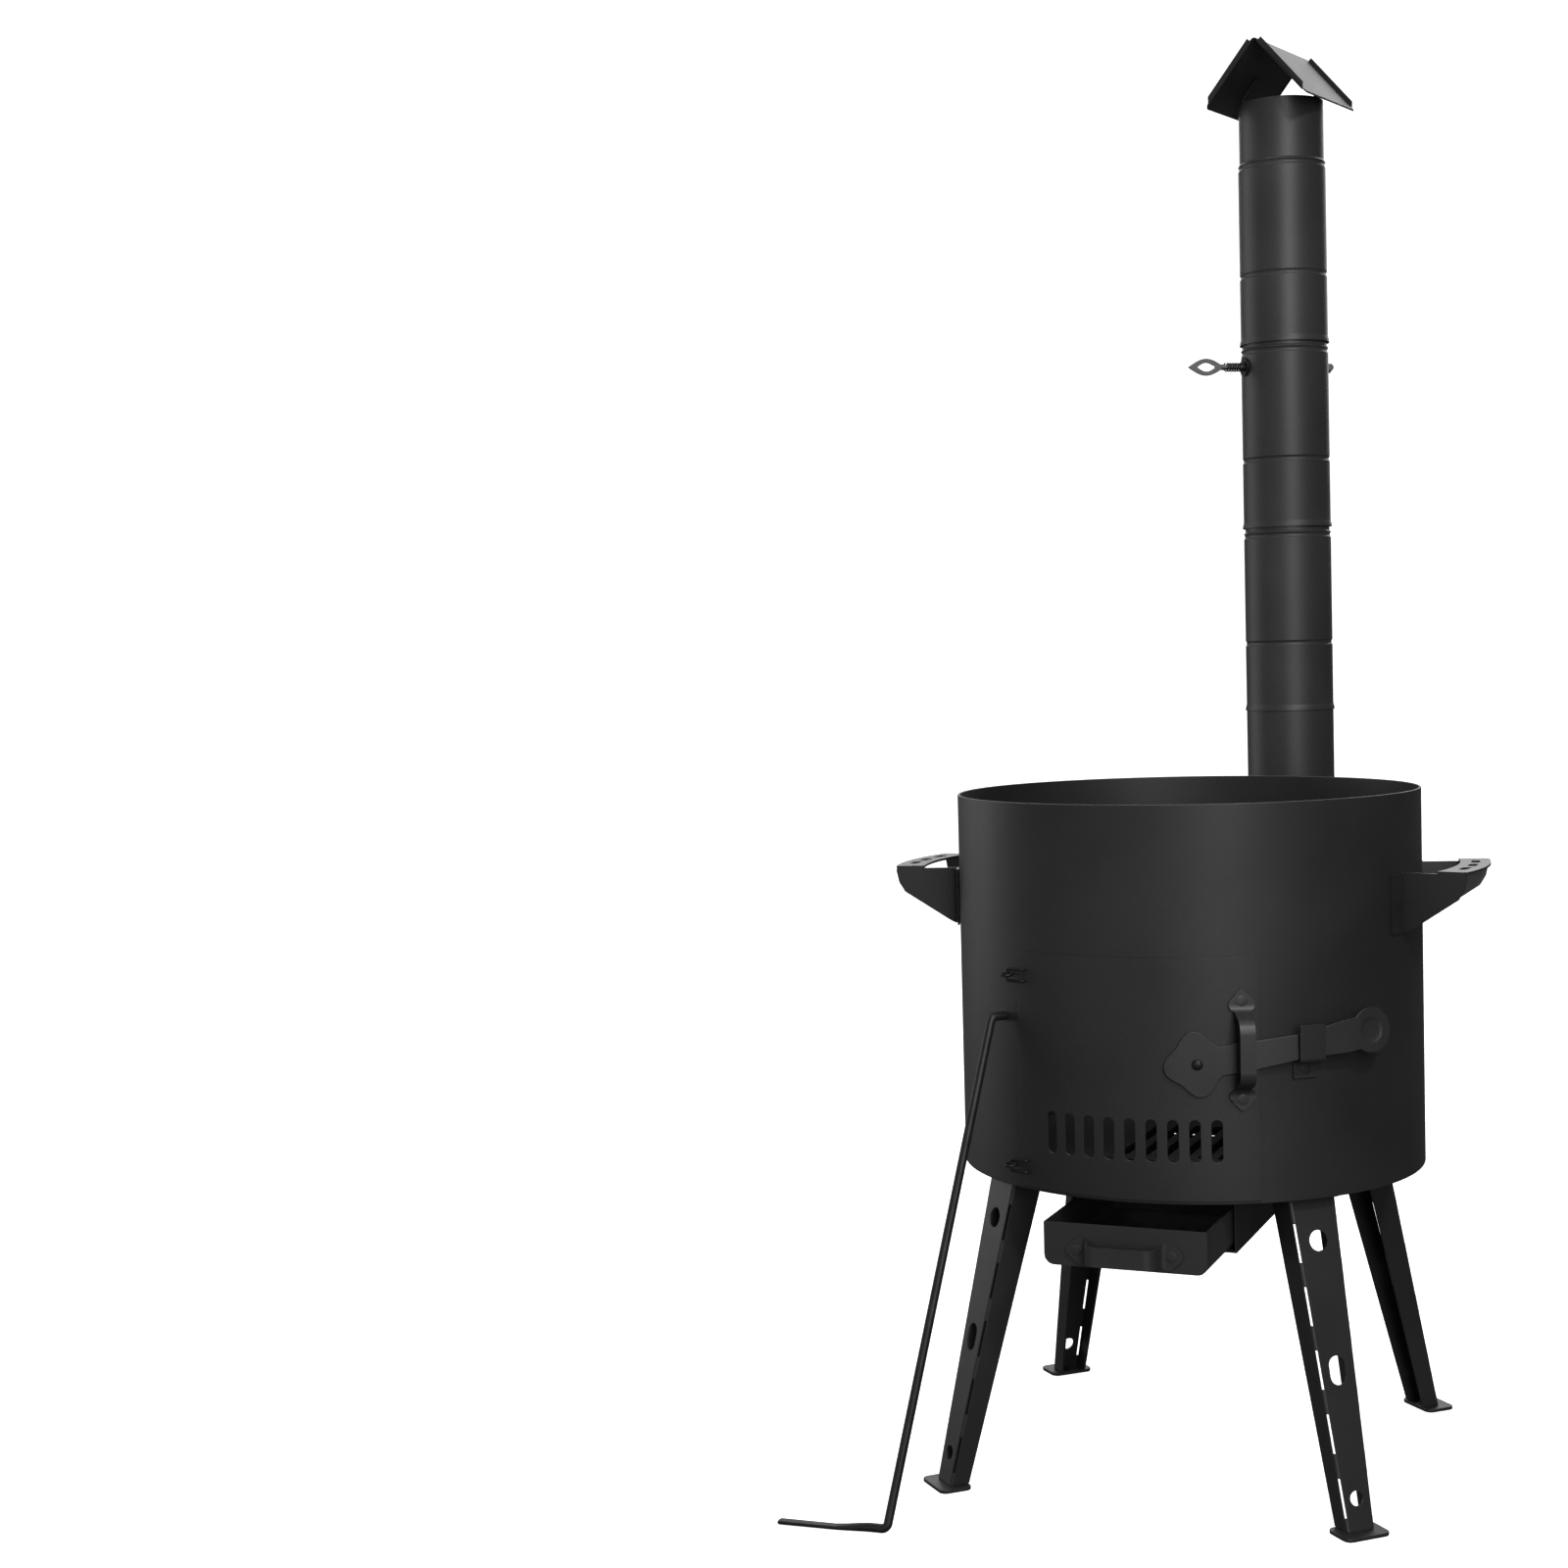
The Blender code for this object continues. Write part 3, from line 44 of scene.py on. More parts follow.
drum_radius, drum_low, drum_high = 0.190, 0.248, 0.555
left_and_right = (("left", -1), ("right", 1))

# gap is the play between sheets that touch. on_sheet and on_strap are how far the back of a part stands off
# the drum, or off the drawer's front, when it lies on one sheet or on a strap on that sheet.
sheet, gap = 0.002, 0.0003
on_sheet, on_strap = sheet + 2 * gap, 2 * sheet + 3 * gap


class Shade:
    """A socket of a material's node tree. A formula of sockets adds its own Math nodes."""

    def __init__(self, tree, output=None):
        self.tree = tree
        self.output = output

    def node(self, kind, output=0, settings=None, **links):
        return Shade(self.tree, step(self.tree, kind, settings, **links).outputs[output])

    def math(self, operation, first, second):
        return self.node("ShaderNodeMath", settings={"operation": operation}, i0=first, i1=second)

    def __add__(self, other):
        return self.math("ADD", self, other)

    def __radd__(self, other):
        return self.math("ADD", other, self)

    def __mul__(self, other):
        return self.math("MULTIPLY", self, other)

    def noise(self, scale, detail=2.0, stretch=(1, 1, 1)):
        place = self.node("ShaderNodeTexCoord", output="Object")
        if stretch != (1, 1, 1):
            place = self.node("ShaderNodeMapping", Vector=place, Scale=stretch)
        return self.node("ShaderNodeTexNoise", output="Fac", Vector=place, Scale=scale, Detail=detail)

    def between(self, low, high, share):
        """Smoothly 0 below low and 1 above high."""
        smooth = {"interpolation_type": "SMOOTHSTEP"}
        return self.node("ShaderNodeMapRange", settings=smooth, Value=share, From_Min=low, From_Max=high)

    def mix(self, share, first, second):
        colours = {"data_type": "RGBA"}
        return self.node("ShaderNodeMix", output=2, settings=colours, i0=share, i6=first, i7=second)


def join(tree, socket, value):
    """Links a socket to an output of the tree, or gives it a plain value."""
    value = value.output if isinstance(value, Shade) else value
    if isinstance(value, bpy.types.NodeSocket):
        tree.links.new(value, socket)
    else:
        socket.default_value = value


def step(tree, kind, settings=None, **links):
    """One more node of a tree, its inputs given by name or as i and a number."""
    made = tree.nodes.new(kind)
    for key, value in (settings or {}).items():
        setattr(made, key, value)
    for key, value in links.items():
        join(tree, made.inputs[int(key[1:]) if key[1:].isdigit() else key.replace("_", " ")], value)
    return made


def finish(name, colour, roughness, metallic=0.0, bumps=()):
    """colour and roughness are formulas of a Shade. bumps are (noise, strength, depth), laid in turn."""
    material = bpy.data.materials.new(name)
    material.use_nodes = True
    shader = material.node_tree.nodes["Principled BSDF"]
    shade = Shade(material.node_tree)
    join(shade.tree, shader.inputs["Base Color"], colour(shade))
    join(shade.tree, shader.inputs["Roughness"], roughness(shade))
    shader.inputs["Metallic"].default_value = metallic
    normal = None
    for grain, strength, depth in bumps:
        values = {"Strength": strength, "Distance": depth, "Height": shade.noise(*grain)}
        if normal:
            values["Normal"] = normal
        normal = shade.node("ShaderNodeBump", **values)
    join(shade.tree, shader.inputs["Normal"], normal)
    return material


def enamel(name, dark=0.0095, pale=0.0170, roughness=0.43):
    """Black stove enamel: sprayed grain, broad drifts, faint rolling lines. dark and pale are greys."""
    darkest, palest = [(level, level, level + 0.0005, 1) for level in (dark, pale)]

    def colour(s):
        return s.mix(s.between(0.35, 0.7, s.noise(9, 3)) * 0.7 + s.noise(420, 1) * 0.3, darkest, palest)

    def dullness(s):
        rolling = s.noise(30, 2, (1, 1, 0.12))
        return roughness + s.noise(6, 3) * 0.10 + rolling * 0.05 + s.noise(650, 1) * 0.05

    waves, grain = (11, 2, (1, 1, 0.35)), (900, 2)
    return finish(name, colour, dullness, bumps=[(waves, 0.10, 0.004), (grain, 0.16, 0.0004)])


def spun(profile, sides, closed=True):
    """An outline of (radius, height) turned round the Z axis: closed, or open from axis to axis."""
    shape = bmesh.new()
    ring = [shape.verts.new((radius, 0, height)) for radius, height in profile]
    after = ring[1:] + ring[:1] if closed else ring[1:]
    edges = [shape.edges.new(pair) for pair in zip(ring, after)]
    centre, axis = (0, 0, 0), (0, 0, 1)
    bmesh.ops.spin(
        shape, geom=ring + edges, cent=centre, axis=axis, angle=tau, steps=sides, use_merge=True
    )
    return cleaned(shape)


def cleaned(shape):
    bmesh.ops.remove_doubles(shape, verts=shape.verts, dist=1e-6)
    bmesh.ops.recalc_face_normals(shape, faces=shape.faces)
    return shape


def arc(centre, radius, start_deg, end_deg, points):
    turns = [radians(start_deg + (end_deg - start_deg) * k / (points - 1)) for k in range(points)]
    return [(centre[0] + radius * cos(t), centre[1] + radius * sin(t)) for t in turns]


def rounded(low, high, radius, points=9):
    """A rectangle with round corners."""
    (x0, z0), (x1, z1) = low, high
    corners = ((x1, z1, 0), (x0, z1, 90), (x0, z0, 180), (x1, z0, 270))
    outline = []
    for x, z, start in corners:
        centre = (x - radius if x == x1 else x + radius, z - radius if z == z1 else z + radius)
        outline += arc(centre, radius, start, start + 90, points)
    return outline


def round_ended(x, middle, reach, radius, points=13):
    """A slot along the second axis. reach is from its middle to the centre of each round end."""
    high_end = arc((x, middle + reach), radius, 0, 180, points)
    return high_end + arc((x, middle - reach), radius, 180, 360, points)


def bridged(shape, first, second):
    for k in range(len(first)):
        after = (k + 1) % len(first)
        shape.faces.new((first[k], first[after], second[after], second[k]))


def lofted(*outlines):
    """The solid between two outlines of as many points each."""
    shape = bmesh.new()
    rings = [[shape.verts.new(place) for place in outline] for outline in outlines]
    for ring in rings:
        shape.faces.new(ring)
    bridged(shape, *rings)
    return cleaned(shape)


def slab(outline, near, far, plane="XZ"):
    """A flat outline made solid between two depths."""
    order = {"XZ": (0, 2, 1), "XY": (0, 1, 2), "YZ": (2, 0, 1)}[plane]
    return lofted(*[[[(x, y, depth)[k] for k in order] for x, y in outline] for depth in (near, far)])


def rod(start, end, radius, sides=48):
    start, end = Vector(start), Vector(end)
    shape = bmesh.new()
    bmesh.ops.create_cone(
        shape, cap_ends=True, segments=sides, radius1=radius, radius2=radius, depth=(end - start).length
    )
    turn = (end - start).to_track_quat("Z", "Y").to_matrix().to_4x4()
    return moved(shape, Matrix.Translation((start + end) / 2) @ turn)


def moved(shape, matrix):
    bmesh.ops.transform(shape, matrix=matrix, verts=shape.verts)
    return shape


def shift(place):
    return Matrix.Translation(place)


def turned(angle, axis="Z"):
    return Matrix.Rotation(angle, 4, axis)


def meshed(shape, name="shape"):
    """The mesh of a finished shape, which is used up."""
    mesh = bpy.data.meshes.new(name)
    cleaned(shape).to_mesh(mesh)
    shape.free()
    return mesh


def linked(name, data):
    made = bpy.data.objects.new(name, data)
    bpy.context.scene.collection.objects.link(made)
    return made


def gathered(shapes):
    whole = bmesh.new()
    for shape in shapes:
        mesh = meshed(shape)
        whole.from_mesh(mesh)
        bpy.data.meshes.remove(mesh)
    return whole


def combined(first, second, operation="DIFFERENCE"):
    """The Boolean of two shapes. Both are used up."""
    stand_ins = [linked("shape", meshed(shape)) for shape in (first, second)]
    modifier = stand_ins[0].modifiers.new("Combine", "BOOLEAN")
    modifier.operation = operation
    modifier.object = stand_ins[1]
    result = bmesh.new()
    result.from_object(stand_ins[0], bpy.context.evaluated_depsgraph_get())
    for stand_in in stand_ins:
        mesh = stand_in.data
        bpy.data.objects.remove(stand_in, do_unlink=True)
        bpy.data.meshes.remove(mesh)
    return cleaned(result)


def eased(shape, width, sharper_than=60, segments=2):
    """Rounds every edge that is sharper than an angle, as the press and the paint leave it."""
    edges = [e for e in shape.edges if e.is_manifold and e.calc_face_angle() > radians(sharper_than)]
    bmesh.ops.bevel(
        shape, geom=edges, offset=width, offset_type="OFFSET", segments=segments, profile=0.5,
        affect="EDGES", clamp_overlap=True,
    )
    return shape


def wrapped(shape, radius, step=0.004, flat=0.0):
    """Rolls flat work round the Z axis: x becomes length round the curve and -y distance out."""
    reach = [vertex.co.x for vertex in shape.verts]
    for k in range(floor(min(reach) / step), ceil(max(reach) / step) + 1):
        whole, cut = shape.verts[:] + shape.edges[:] + shape.faces[:], (k * step, 0, 0)
        bmesh.ops.bisect_plane(shape, geom=whole, plane_co=cut, plane_no=(1, 0, 0), dist=1e-7)
    for vertex in shape.verts:
        start = max(-flat, min(flat, vertex.co.x))
        turn = (vertex.co.x - start) / radius
        distance = radius - vertex.co.y
        vertex.co = (start + distance * sin(turn), -distance * cos(turn), vertex.co.z)
    return shape


def piece(name, shape, material, body, *stands_for, slot="black_heat_paint", smooth_deg=38):
    """Sets a finished shape on the stove under the body that moves it, and hides the solids it stands for.
    """
    mesh = meshed(shape, name) if isinstance(shape, bmesh.types.BMesh) else shape
    mesh.transform(shift(stove_axis))
    mesh.materials.clear()
    mesh.materials.append(material)
    mesh.shade_smooth()
    mesh.set_sharp_from_angle(angle=radians(smooth_deg))
    made = linked(name, mesh)
    made.modifiers.new("Even shading", "WEIGHTED_NORMAL").keep_sharp = True
    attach(made, body)
    if stands_for:
        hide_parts(*stands_for)
    return made


drum_enamel = enamel("drum_enamel")
rim = 0.0008
outer, inner = drum_radius, drum_radius - sheet
wall = [(outer, drum_low + rim), (outer, drum_high - rim)]
for radius, height, start in (
    (outer - rim, drum_high - rim, 0), (inner + rim, drum_high - rim, 90),
    (inner + rim, drum_low + rim, 180), (outer - rim, drum_low + rim, 270),
):
    wall += arc((radius, height), rim, start, start + 90, 4)
opening_low, opening_high, opening_half, opening_corner = 0.259, 0.430, 0.092, 0.010
opening = rounded((-opening_half, opening_low), (opening_half, opening_high), opening_corner)
door_opening = wrapped(slab(opening, -0.010, 0.010), drum_radius)
outlet_z, outlet_hole = 0.440, 0.0409
flue_hole = rod((0, 0.1, outlet_z), (0, 0.3, outlet_z), outlet_hole)
drum = combined(combined(spun(wall, 216), door_opening), flue_hole)
piece("drum_shell", drum, drum_enamel, "stove", "drum")

# The bottom: a disc of 3 mm sheet, welded inside the drum's lower edge, with the ash opening in its
# middle. It has the same enamel as the drum, dulled by ash and heat.
plate_enamel = enamel("bottom_plate_enamel", roughness=0.52)
bottom_low, bottom_high, bottom_radius = 0.2495, 0.2525, 0.1877
disc = rod((0, 0, bottom_low), (0, 0, bottom_high), bottom_radius, 160)
ash_opening = slab(rounded((-0.049, -0.070), (0.049, 0.070), 0.010), 0.2, 0.3, "XY")
disc = eased(combined(disc, ash_opening), 0.0003)
piece("bottom_disc", disc, plate_enamel, "stove", "bottom_plate")

# The grate: a plain iron casting that lies over the ash opening, with slots for air and ash.
# Its skin is the rough one of a sand casting, dark and a little metallic.
cast_skin = finish(
    "cast_iron_skin",
    lambda s: s.mix(s.noise(60, 4), (0.020, 0.019, 0.018, 1), (0.045, 0.042, 0.040, 1)),
    lambda s: 0.62 + s.noise(90, 3) * 0.2,
    metallic=0.6,
    bumps=[((260, 5), 0.7, 0.0008), ((1400, 2), 0.4, 0.0003)],
)
grate_low, grate_thick, slot_pitch = bottom_high + gap, 0.006, 0.0165
grate = slab(rounded((-0.061, -0.082), (0.061, 0.082), 0.010), grate_low, grate_low + grate_thick, "XY")
slots = []
for k in range(6):
    outline = round_ended((k - 2.5) * slot_pitch, 0, 0.0620, 0.004)
    slots.append(slab(outline, grate_low - 0.01, grate_low + 0.02, "XY"))
grate = eased(combined(grate, gathered(slots)), 0.0009, 50, 3)
piece("grate_casting", grate, cast_skin, "stove", "fire_grate", slot="cast_iron")

# The fire door: a rolled 2 mm sheet that laps the opening by 8 mm all round, with its upper corners cut
# round. Nine upright slots above its lower edge let air in. Two hinges carry it on the drum.
door_enamel = enamel("door_enamel", roughness=0.41)
door_low, door_high, door_half = 0.251, 0.438, 0.100
door_back, door_face = -gap, -gap - sheet
corner = 0.007
outline = [(-door_half, door_low), (door_half, door_low)]
outline += arc((door_half - corner, door_high - corner), corner, 0, 90, 12)
outline += arc((corner - door_half, door_high - corner), corner, 90, 180, 12)
vents = [slab(round_ended((k - 4) * slot_pitch, 0.2975, 0.01225, 0.00425), -0.01, 0.01) for k in range(9)]
flat_door = eased(combined(slab(outline, door_back, door_face), gathered(vents)), 0.00035)
piece("door_leaf", wrapped(flat_door, drum_radius), door_enamel, "door", "door")

# The hinges: each is an eye of steel wire welded on the drum, and a wire staple on the door threaded
# through it. A Geometry Nodes tree bends the wire: it rounds a path's corners and gives it a section.


def grown(name, start, tree, **sizes):
    """Runs a node tree on a mesh and returns the plain mesh that comes out."""
    holder = linked(name, start)
    modifier = holder.modifiers.new("Grow", "NODES")
    modifier.node_group = tree
    for item in tree.interface.items_tree:
        if item.in_out == "INPUT" and item.name in sizes:
            modifier[item.identifier] = sizes[item.name]
    mesh = bpy.data.meshes.new_from_object(holder.evaluated_get(bpy.context.evaluated_depsgraph_get()))
    bpy.data.objects.remove(holder, do_unlink=True)
    return mesh


def tree_of(name, **kinds):
    """An empty Geometry Nodes tree for a mesh, with the named inputs and the finish that it ends in."""
    tree = bpy.data.node_groups.new(name, "GeometryNodeTree")
    for key, kind in {"Geometry": "Geometry", **kinds, "Finish": "Material"}.items():
        tree.interface.new_socket(key, in_out="INPUT", socket_type="NodeSocket" + kind)
    tree.interface.new_socket("Geometry", in_out="OUTPUT", socket_type="NodeSocketGeometry")
    return tree, tree.nodes.new("NodeGroupInput"), tree.nodes.new("NodeGroupOutput")


def finish_tree(tree, geometry, given, result):
    """Every tree ends here: real geometry in place of instances, and its material."""
    real = step(tree, "GeometryNodeRealizeInstances", Geometry=geometry)
    smooth = step(tree, "GeometryNodeSetShadeSmooth", Geometry=real.outputs[0])
    paint = given.outputs["Finish"]
    painted = step(tree, "GeometryNodeSetMaterial", Geometry=smooth.outputs[0], Material=paint)
    tree.links.new(painted.outputs[0], result.inputs[0])


def round_section(tree, curve, radius, sides, given, result):
    """Ends a tree with a curve made into round wire with closed ends."""
    section = step(tree, "GeometryNodeCurvePrimitiveCircle", Resolution=sides, Radius=given.outputs[radius])
    wire = step(
        tree, "GeometryNodeCurveToMesh", Curve=curve.outputs[0], Profile_Curve=section.outputs[0],
        Fill_Caps=True,
    )
    finish_tree(tree, wire.outputs[0], given, result)


wire_tree, given, result = tree_of("bent wire", Radius="Float", Bend="Float")
path = step(wire_tree, "GeometryNodeMeshToCurve", Mesh=given.outputs["Geometry"])
bend = step(
    wire_tree, "GeometryNodeFilletCurve", {"mode": "POLY"}, Curve=path.outputs[0], Count=6,
    Radius=given.outputs["Bend"], Limit_Radius=True,
)
round_section(wire_tree, bend, "Radius", 20, given, result)


def bent_wire(name, places, radius, bend_radius, material):
    path = bpy.data.meshes.new(name + "_path")
    path.from_pydata([tuple(place) for place in places], [(k, k + 1) for k in range(len(places) - 1)], [])
    mesh = grown(name, path, wire_tree, Radius=radius, Bend=bend_radius, Finish=material)
    shape = bmesh.new()
    shape.from_mesh(mesh)
    return cleaned(shape)


dark_wire = finish(
    "dark_wire",
    lambda s: s.mix(s.noise(300, 3), (0.014, 0.014, 0.0145, 1), (0.034, 0.0335, 0.033, 1)),
    lambda s: 0.38 + s.noise(200, 3) * 0.18,
    metallic=0.75,
    bumps=[((700, 3), 0.25, 0.0002)],
)


def outward_at(along):
    turn = along / drum_radius
    return Vector((sin(turn), -cos(turn), 0))


def on_drum(along, out, z):
    return outward_at(along) * (drum_radius + out) + Vector((0, 0, z))


hinge_along, hinge_out, hinge_wire = -0.1045, 0.0085, 0.0012
eye_radius, eye_root, staple_root = 0.0043, hinge_along - 0.0085, hinge_along + 0.013
staple_rise = Vector((0, 0, 0.0045))
eye_from_deg, eye_sweep_deg = 200, 318
outward = outward_at(hinge_along)
tangent = Vector((-outward.y, outward.x, 0))
for label, z in (("lower", 0.267), ("upper", 0.419)):
    centre = on_drum(hinge_along, hinge_out, z)
    eye = [on_drum(eye_root, gap, z), on_drum(eye_root, gap + sheet, z)]
    for k in range(33):
        turn = radians(eye_from_deg - eye_sweep_deg * k / 32)
        eye.append(centre + eye_radius * (tangent * cos(turn) + outward * sin(turn)))
    shape = bent_wire("eye", eye, hinge_wire, 0.0010, dark_wire)
    piece(f"hinge_eye_wire_{label}", shape, dark_wire, "stove", f"hinge_eye_{label}", slot="dark_steel")
    seat = on_drum(staple_root, on_sheet, z)
    leg = on_drum(staple_root, on_sheet + sheet, z)
    upper_half = [place + staple_rise for place in (seat, leg, centre)]
    staple = upper_half + [place - staple_rise for place in (centre, leg, seat)]
    shape = bent_wire("staple", staple, hinge_wire, 0.0016, dark_wire)
    piece(f"hinge_staple_wire_{label}", shape, dark_wire, "door", f"hinge_staple_{label}", slot="dark_steel")

# The latch bar: cut from 2 mm sheet, with a lobed rosette at its rivet, a waist where it lies in the
# keeper and a disc with a pressed dish at its end. Flat round the rivet on the door and rolled beyond, it
# slopes up by 8.6 degrees.
bar_enamel = enamel("latch_enamel", dark=0.0145, pale=0.026, roughness=0.37)
latch_along, latch_back, latch_z, latch_slope = 0.052, on_sheet, 0.357, radians(8.6)
latch_curve, latch_flat, latch_thick = 0.231, 0.010, 0.002
bar_root, bar_waist, bar_end = (0.018, 0.024), (0.082, 0.019), (0.118, 0.025)


def bar_half(x):
    """Half the bar's width at x, between the (x, width) stations on either side of it."""
    (x0, width0), (x1, width1) = (bar_root, bar_waist) if x < bar_waist[0] else (bar_waist, bar_end)
    return (width0 + (width1 - width0) * (x - x0) / (x1 - x0)) / 2


rosette_radius, rosette_wave = 0.0228, 0.0027
first = asin(bar_half(bar_root[0]) / rosette_radius)
outline = []
for k in range(97):
    turn = first + (tau - 2 * first) * k / 96
    reach = rosette_radius + rosette_wave * cos(4 * turn)
    outline.append((reach * cos(turn), reach * sin(turn)))
lower = [(x, -bar_half(x)) for x in (0.030, 0.041, 0.055, 0.070, 0.080, 0.084, 0.094, 0.106, 0.118)]
end_along, end_radius = 0.141, 0.0175
from_deg = 180 - degrees(asin(bar_end[1] / 2 / end_radius))
outline += lower + arc((end_along, 0), end_radius, -from_deg, from_deg, 65)
outline += [(x, -z) for x, z in reversed(lower)]
dish = [(0, -0.0013), (0.005, -0.00125), (0.0078, -0.0011), (0.0094, -0.0006), (0.0105, 0)]
press = spun(dish + [(0.0105, 0.01), (0, 0.01)], 64, closed=False)
moved(press, shift((end_along, -latch_thick, 0)) @ turned(tau / 4, "X"))
flat_bar = eased(combined(slab(outline, -latch_thick, 0), press), 0.0006, segments=3)
bar = moved(wrapped(flat_bar, latch_curve, flat=latch_flat), shift((0, latch_curve, 0)))
tilt = turned(latch_along / drum_radius) @ turned(-latch_slope, "Y")
bar = moved(bar, shift(on_drum(latch_along, latch_back, latch_z)) @ tilt)
piece("latch_bar_rolled", bar, bar_enamel, "latch", "latch_bar")

# The keeper: a short strip of 2 mm sheet bent to a J, with one rivet through its tab into the drum.
# The bar drops into it from above.


def strip(path, thickness):
    """The edge view of a bent strip: a path, and the same path offset to its left."""
    points = [Vector(point) for point in path]
    offset = []
    for k, here in enumerate(points):
        into = (here - points[k - 1]).normalized() if k else (points[1] - here).normalized()
        out = (points[k + 1] - here).normalized() if k < len(points) - 1 else into
        normal = (Vector((-into.y, into.x)) + Vector((-out.y, out.x))).normalized()
        offset.append(here + normal * thickness / normal.dot(Vector((-into.y, into.x))))
    return [tuple(point) for point in points + offset[::-1]]


def folded(path, lengths, steps=6):
    """A path with its corners rounded over the lengths given, as a bending brake leaves them."""
    points = [Vector(point) for point in path]
    smooth = [points[0]]
    for before, here, after, length in zip(points, points[1:], points[2:], lengths):
        length = min(length, (before - here).length * 0.48, (after - here).length * 0.48)
        start = here + (before - here).normalized() * length
        end = here + (after - here).normalized() * length
        for k in range(steps + 1):
            share = k / steps
            smooth.append(start * (1 - share) ** 2 + here * 2 * share * (1 - share) + end * share**2)
    return smooth + [points[-1]]


keeper_left, keeper_right = 0.126, 0.146
turn, outer = (keeper_right - latch_along - latch_flat) / latch_curve, latch_curve + latch_thick
forward = drum_radius + latch_back - latch_curve + outer * cos(turn)
lip = hypot(forward, latch_flat + outer * sin(turn)) - drum_radius + 0.0006
low_reach = keeper_left - latch_along
floor_z = latch_z + low_reach * tan(latch_slope) - bar_half(low_reach) * cos(latch_slope) - gap
tab, lip_rise = 0.015, 0.0275
bend_path = [(-gap, floor_z - tab), (-gap, floor_z), (-lip, floor_z), (-lip, floor_z + lip_rise)]
keeper = slab(strip(folded(bend_path, (0.0040, 0.0018)), sheet), keeper_left, keeper_right, "YZ")
keeper = wrapped(eased(keeper, 0.0004), drum_radius)
piece("keeper_bent", keeper, bar_enamel, "stove", "keeper")

# The two strap pulls: one upright on the door, one level on the ash drawer, each held by two rivets. Each
# is a 2 mm steel strip, cut to a pointed leaf at both ends and bent out between them for the fingers.


def leaf_strap(length, opening, grip_length, grip_width, leaf_width, stand):
    """Drawn along X with its back on y = 0. The leaves' shares run from the tip to the grip."""
    path = [(length / 2, 0), (opening / 2, 0), (grip_length / 2, -stand)]
    path += [(-x, y) for x, y in reversed(path)]
    bends = (0.006, 0.0075, 0.0075, 0.006)
    side_view = slab(strip(folded(path, bends, 8), 0.002), -leaf_width, leaf_width, "XY")
    leaf = (length - opening) / 2
    shares = [
        (1.0, 0.05), (0.98, 0.14), (0.95, 0.22), (0.89, 0.32), (0.81, 0.44), (0.73, 0.57), (0.64, 0.71),
        (0.55, 0.85), (0.47, 0.95), (0.38, 1.0), (0.29, 0.99), (0.20, 0.92), (0.12, 0.81),
        (0.03, grip_width / leaf_width),
    ]
    half = [(opening / 2 + leaf * along, leaf_width / 2 * across) for along, across in shares]
    right = [(x, -z) for x, z in reversed(half)] + half
    front_view = slab(right + [(-x, -z) for x, z in right], -stand - 0.01, 0.01)
    return eased(combined(side_view, front_view, "INTERSECT"), 0.0005, 50, 3)


pull_enamel = enamel("pull_enamel", dark=0.016, pale=0.030, roughness=0.35)
pull_along, pull_z, pull_length, pull_opening = 0.0855, 0.3675, 0.093, 0.058
pull = leaf_strap(pull_length, pull_opening, 0.044, 0.012, 0.0205, 0.020)
pull_turn = turned(pull_along / drum_radius) @ turned(-tau / 4, "Y")
pull = moved(pull, shift(on_drum(pull_along, on_sheet, pull_z)) @ pull_turn)
piece("door_pull_strap", pull, pull_enamel, "door", "door_pull")
drawer_front, drawer_low, drawer_high = -0.213, 0.2012, 0.2347
drawer_pull_z = (drawer_low + drawer_high) / 2 - 0.0035
drawer_pull_length, drawer_pull_opening = 0.092, 0.056
pull = leaf_strap(drawer_pull_length, drawer_pull_opening, 0.050, 0.015, 0.022, 0.018)
pull = moved(pull, shift((0, drawer_front - gap, drawer_pull_z)))
piece("drawer_pull_strap", pull, pull_enamel, "drawer", "drawer_pull")

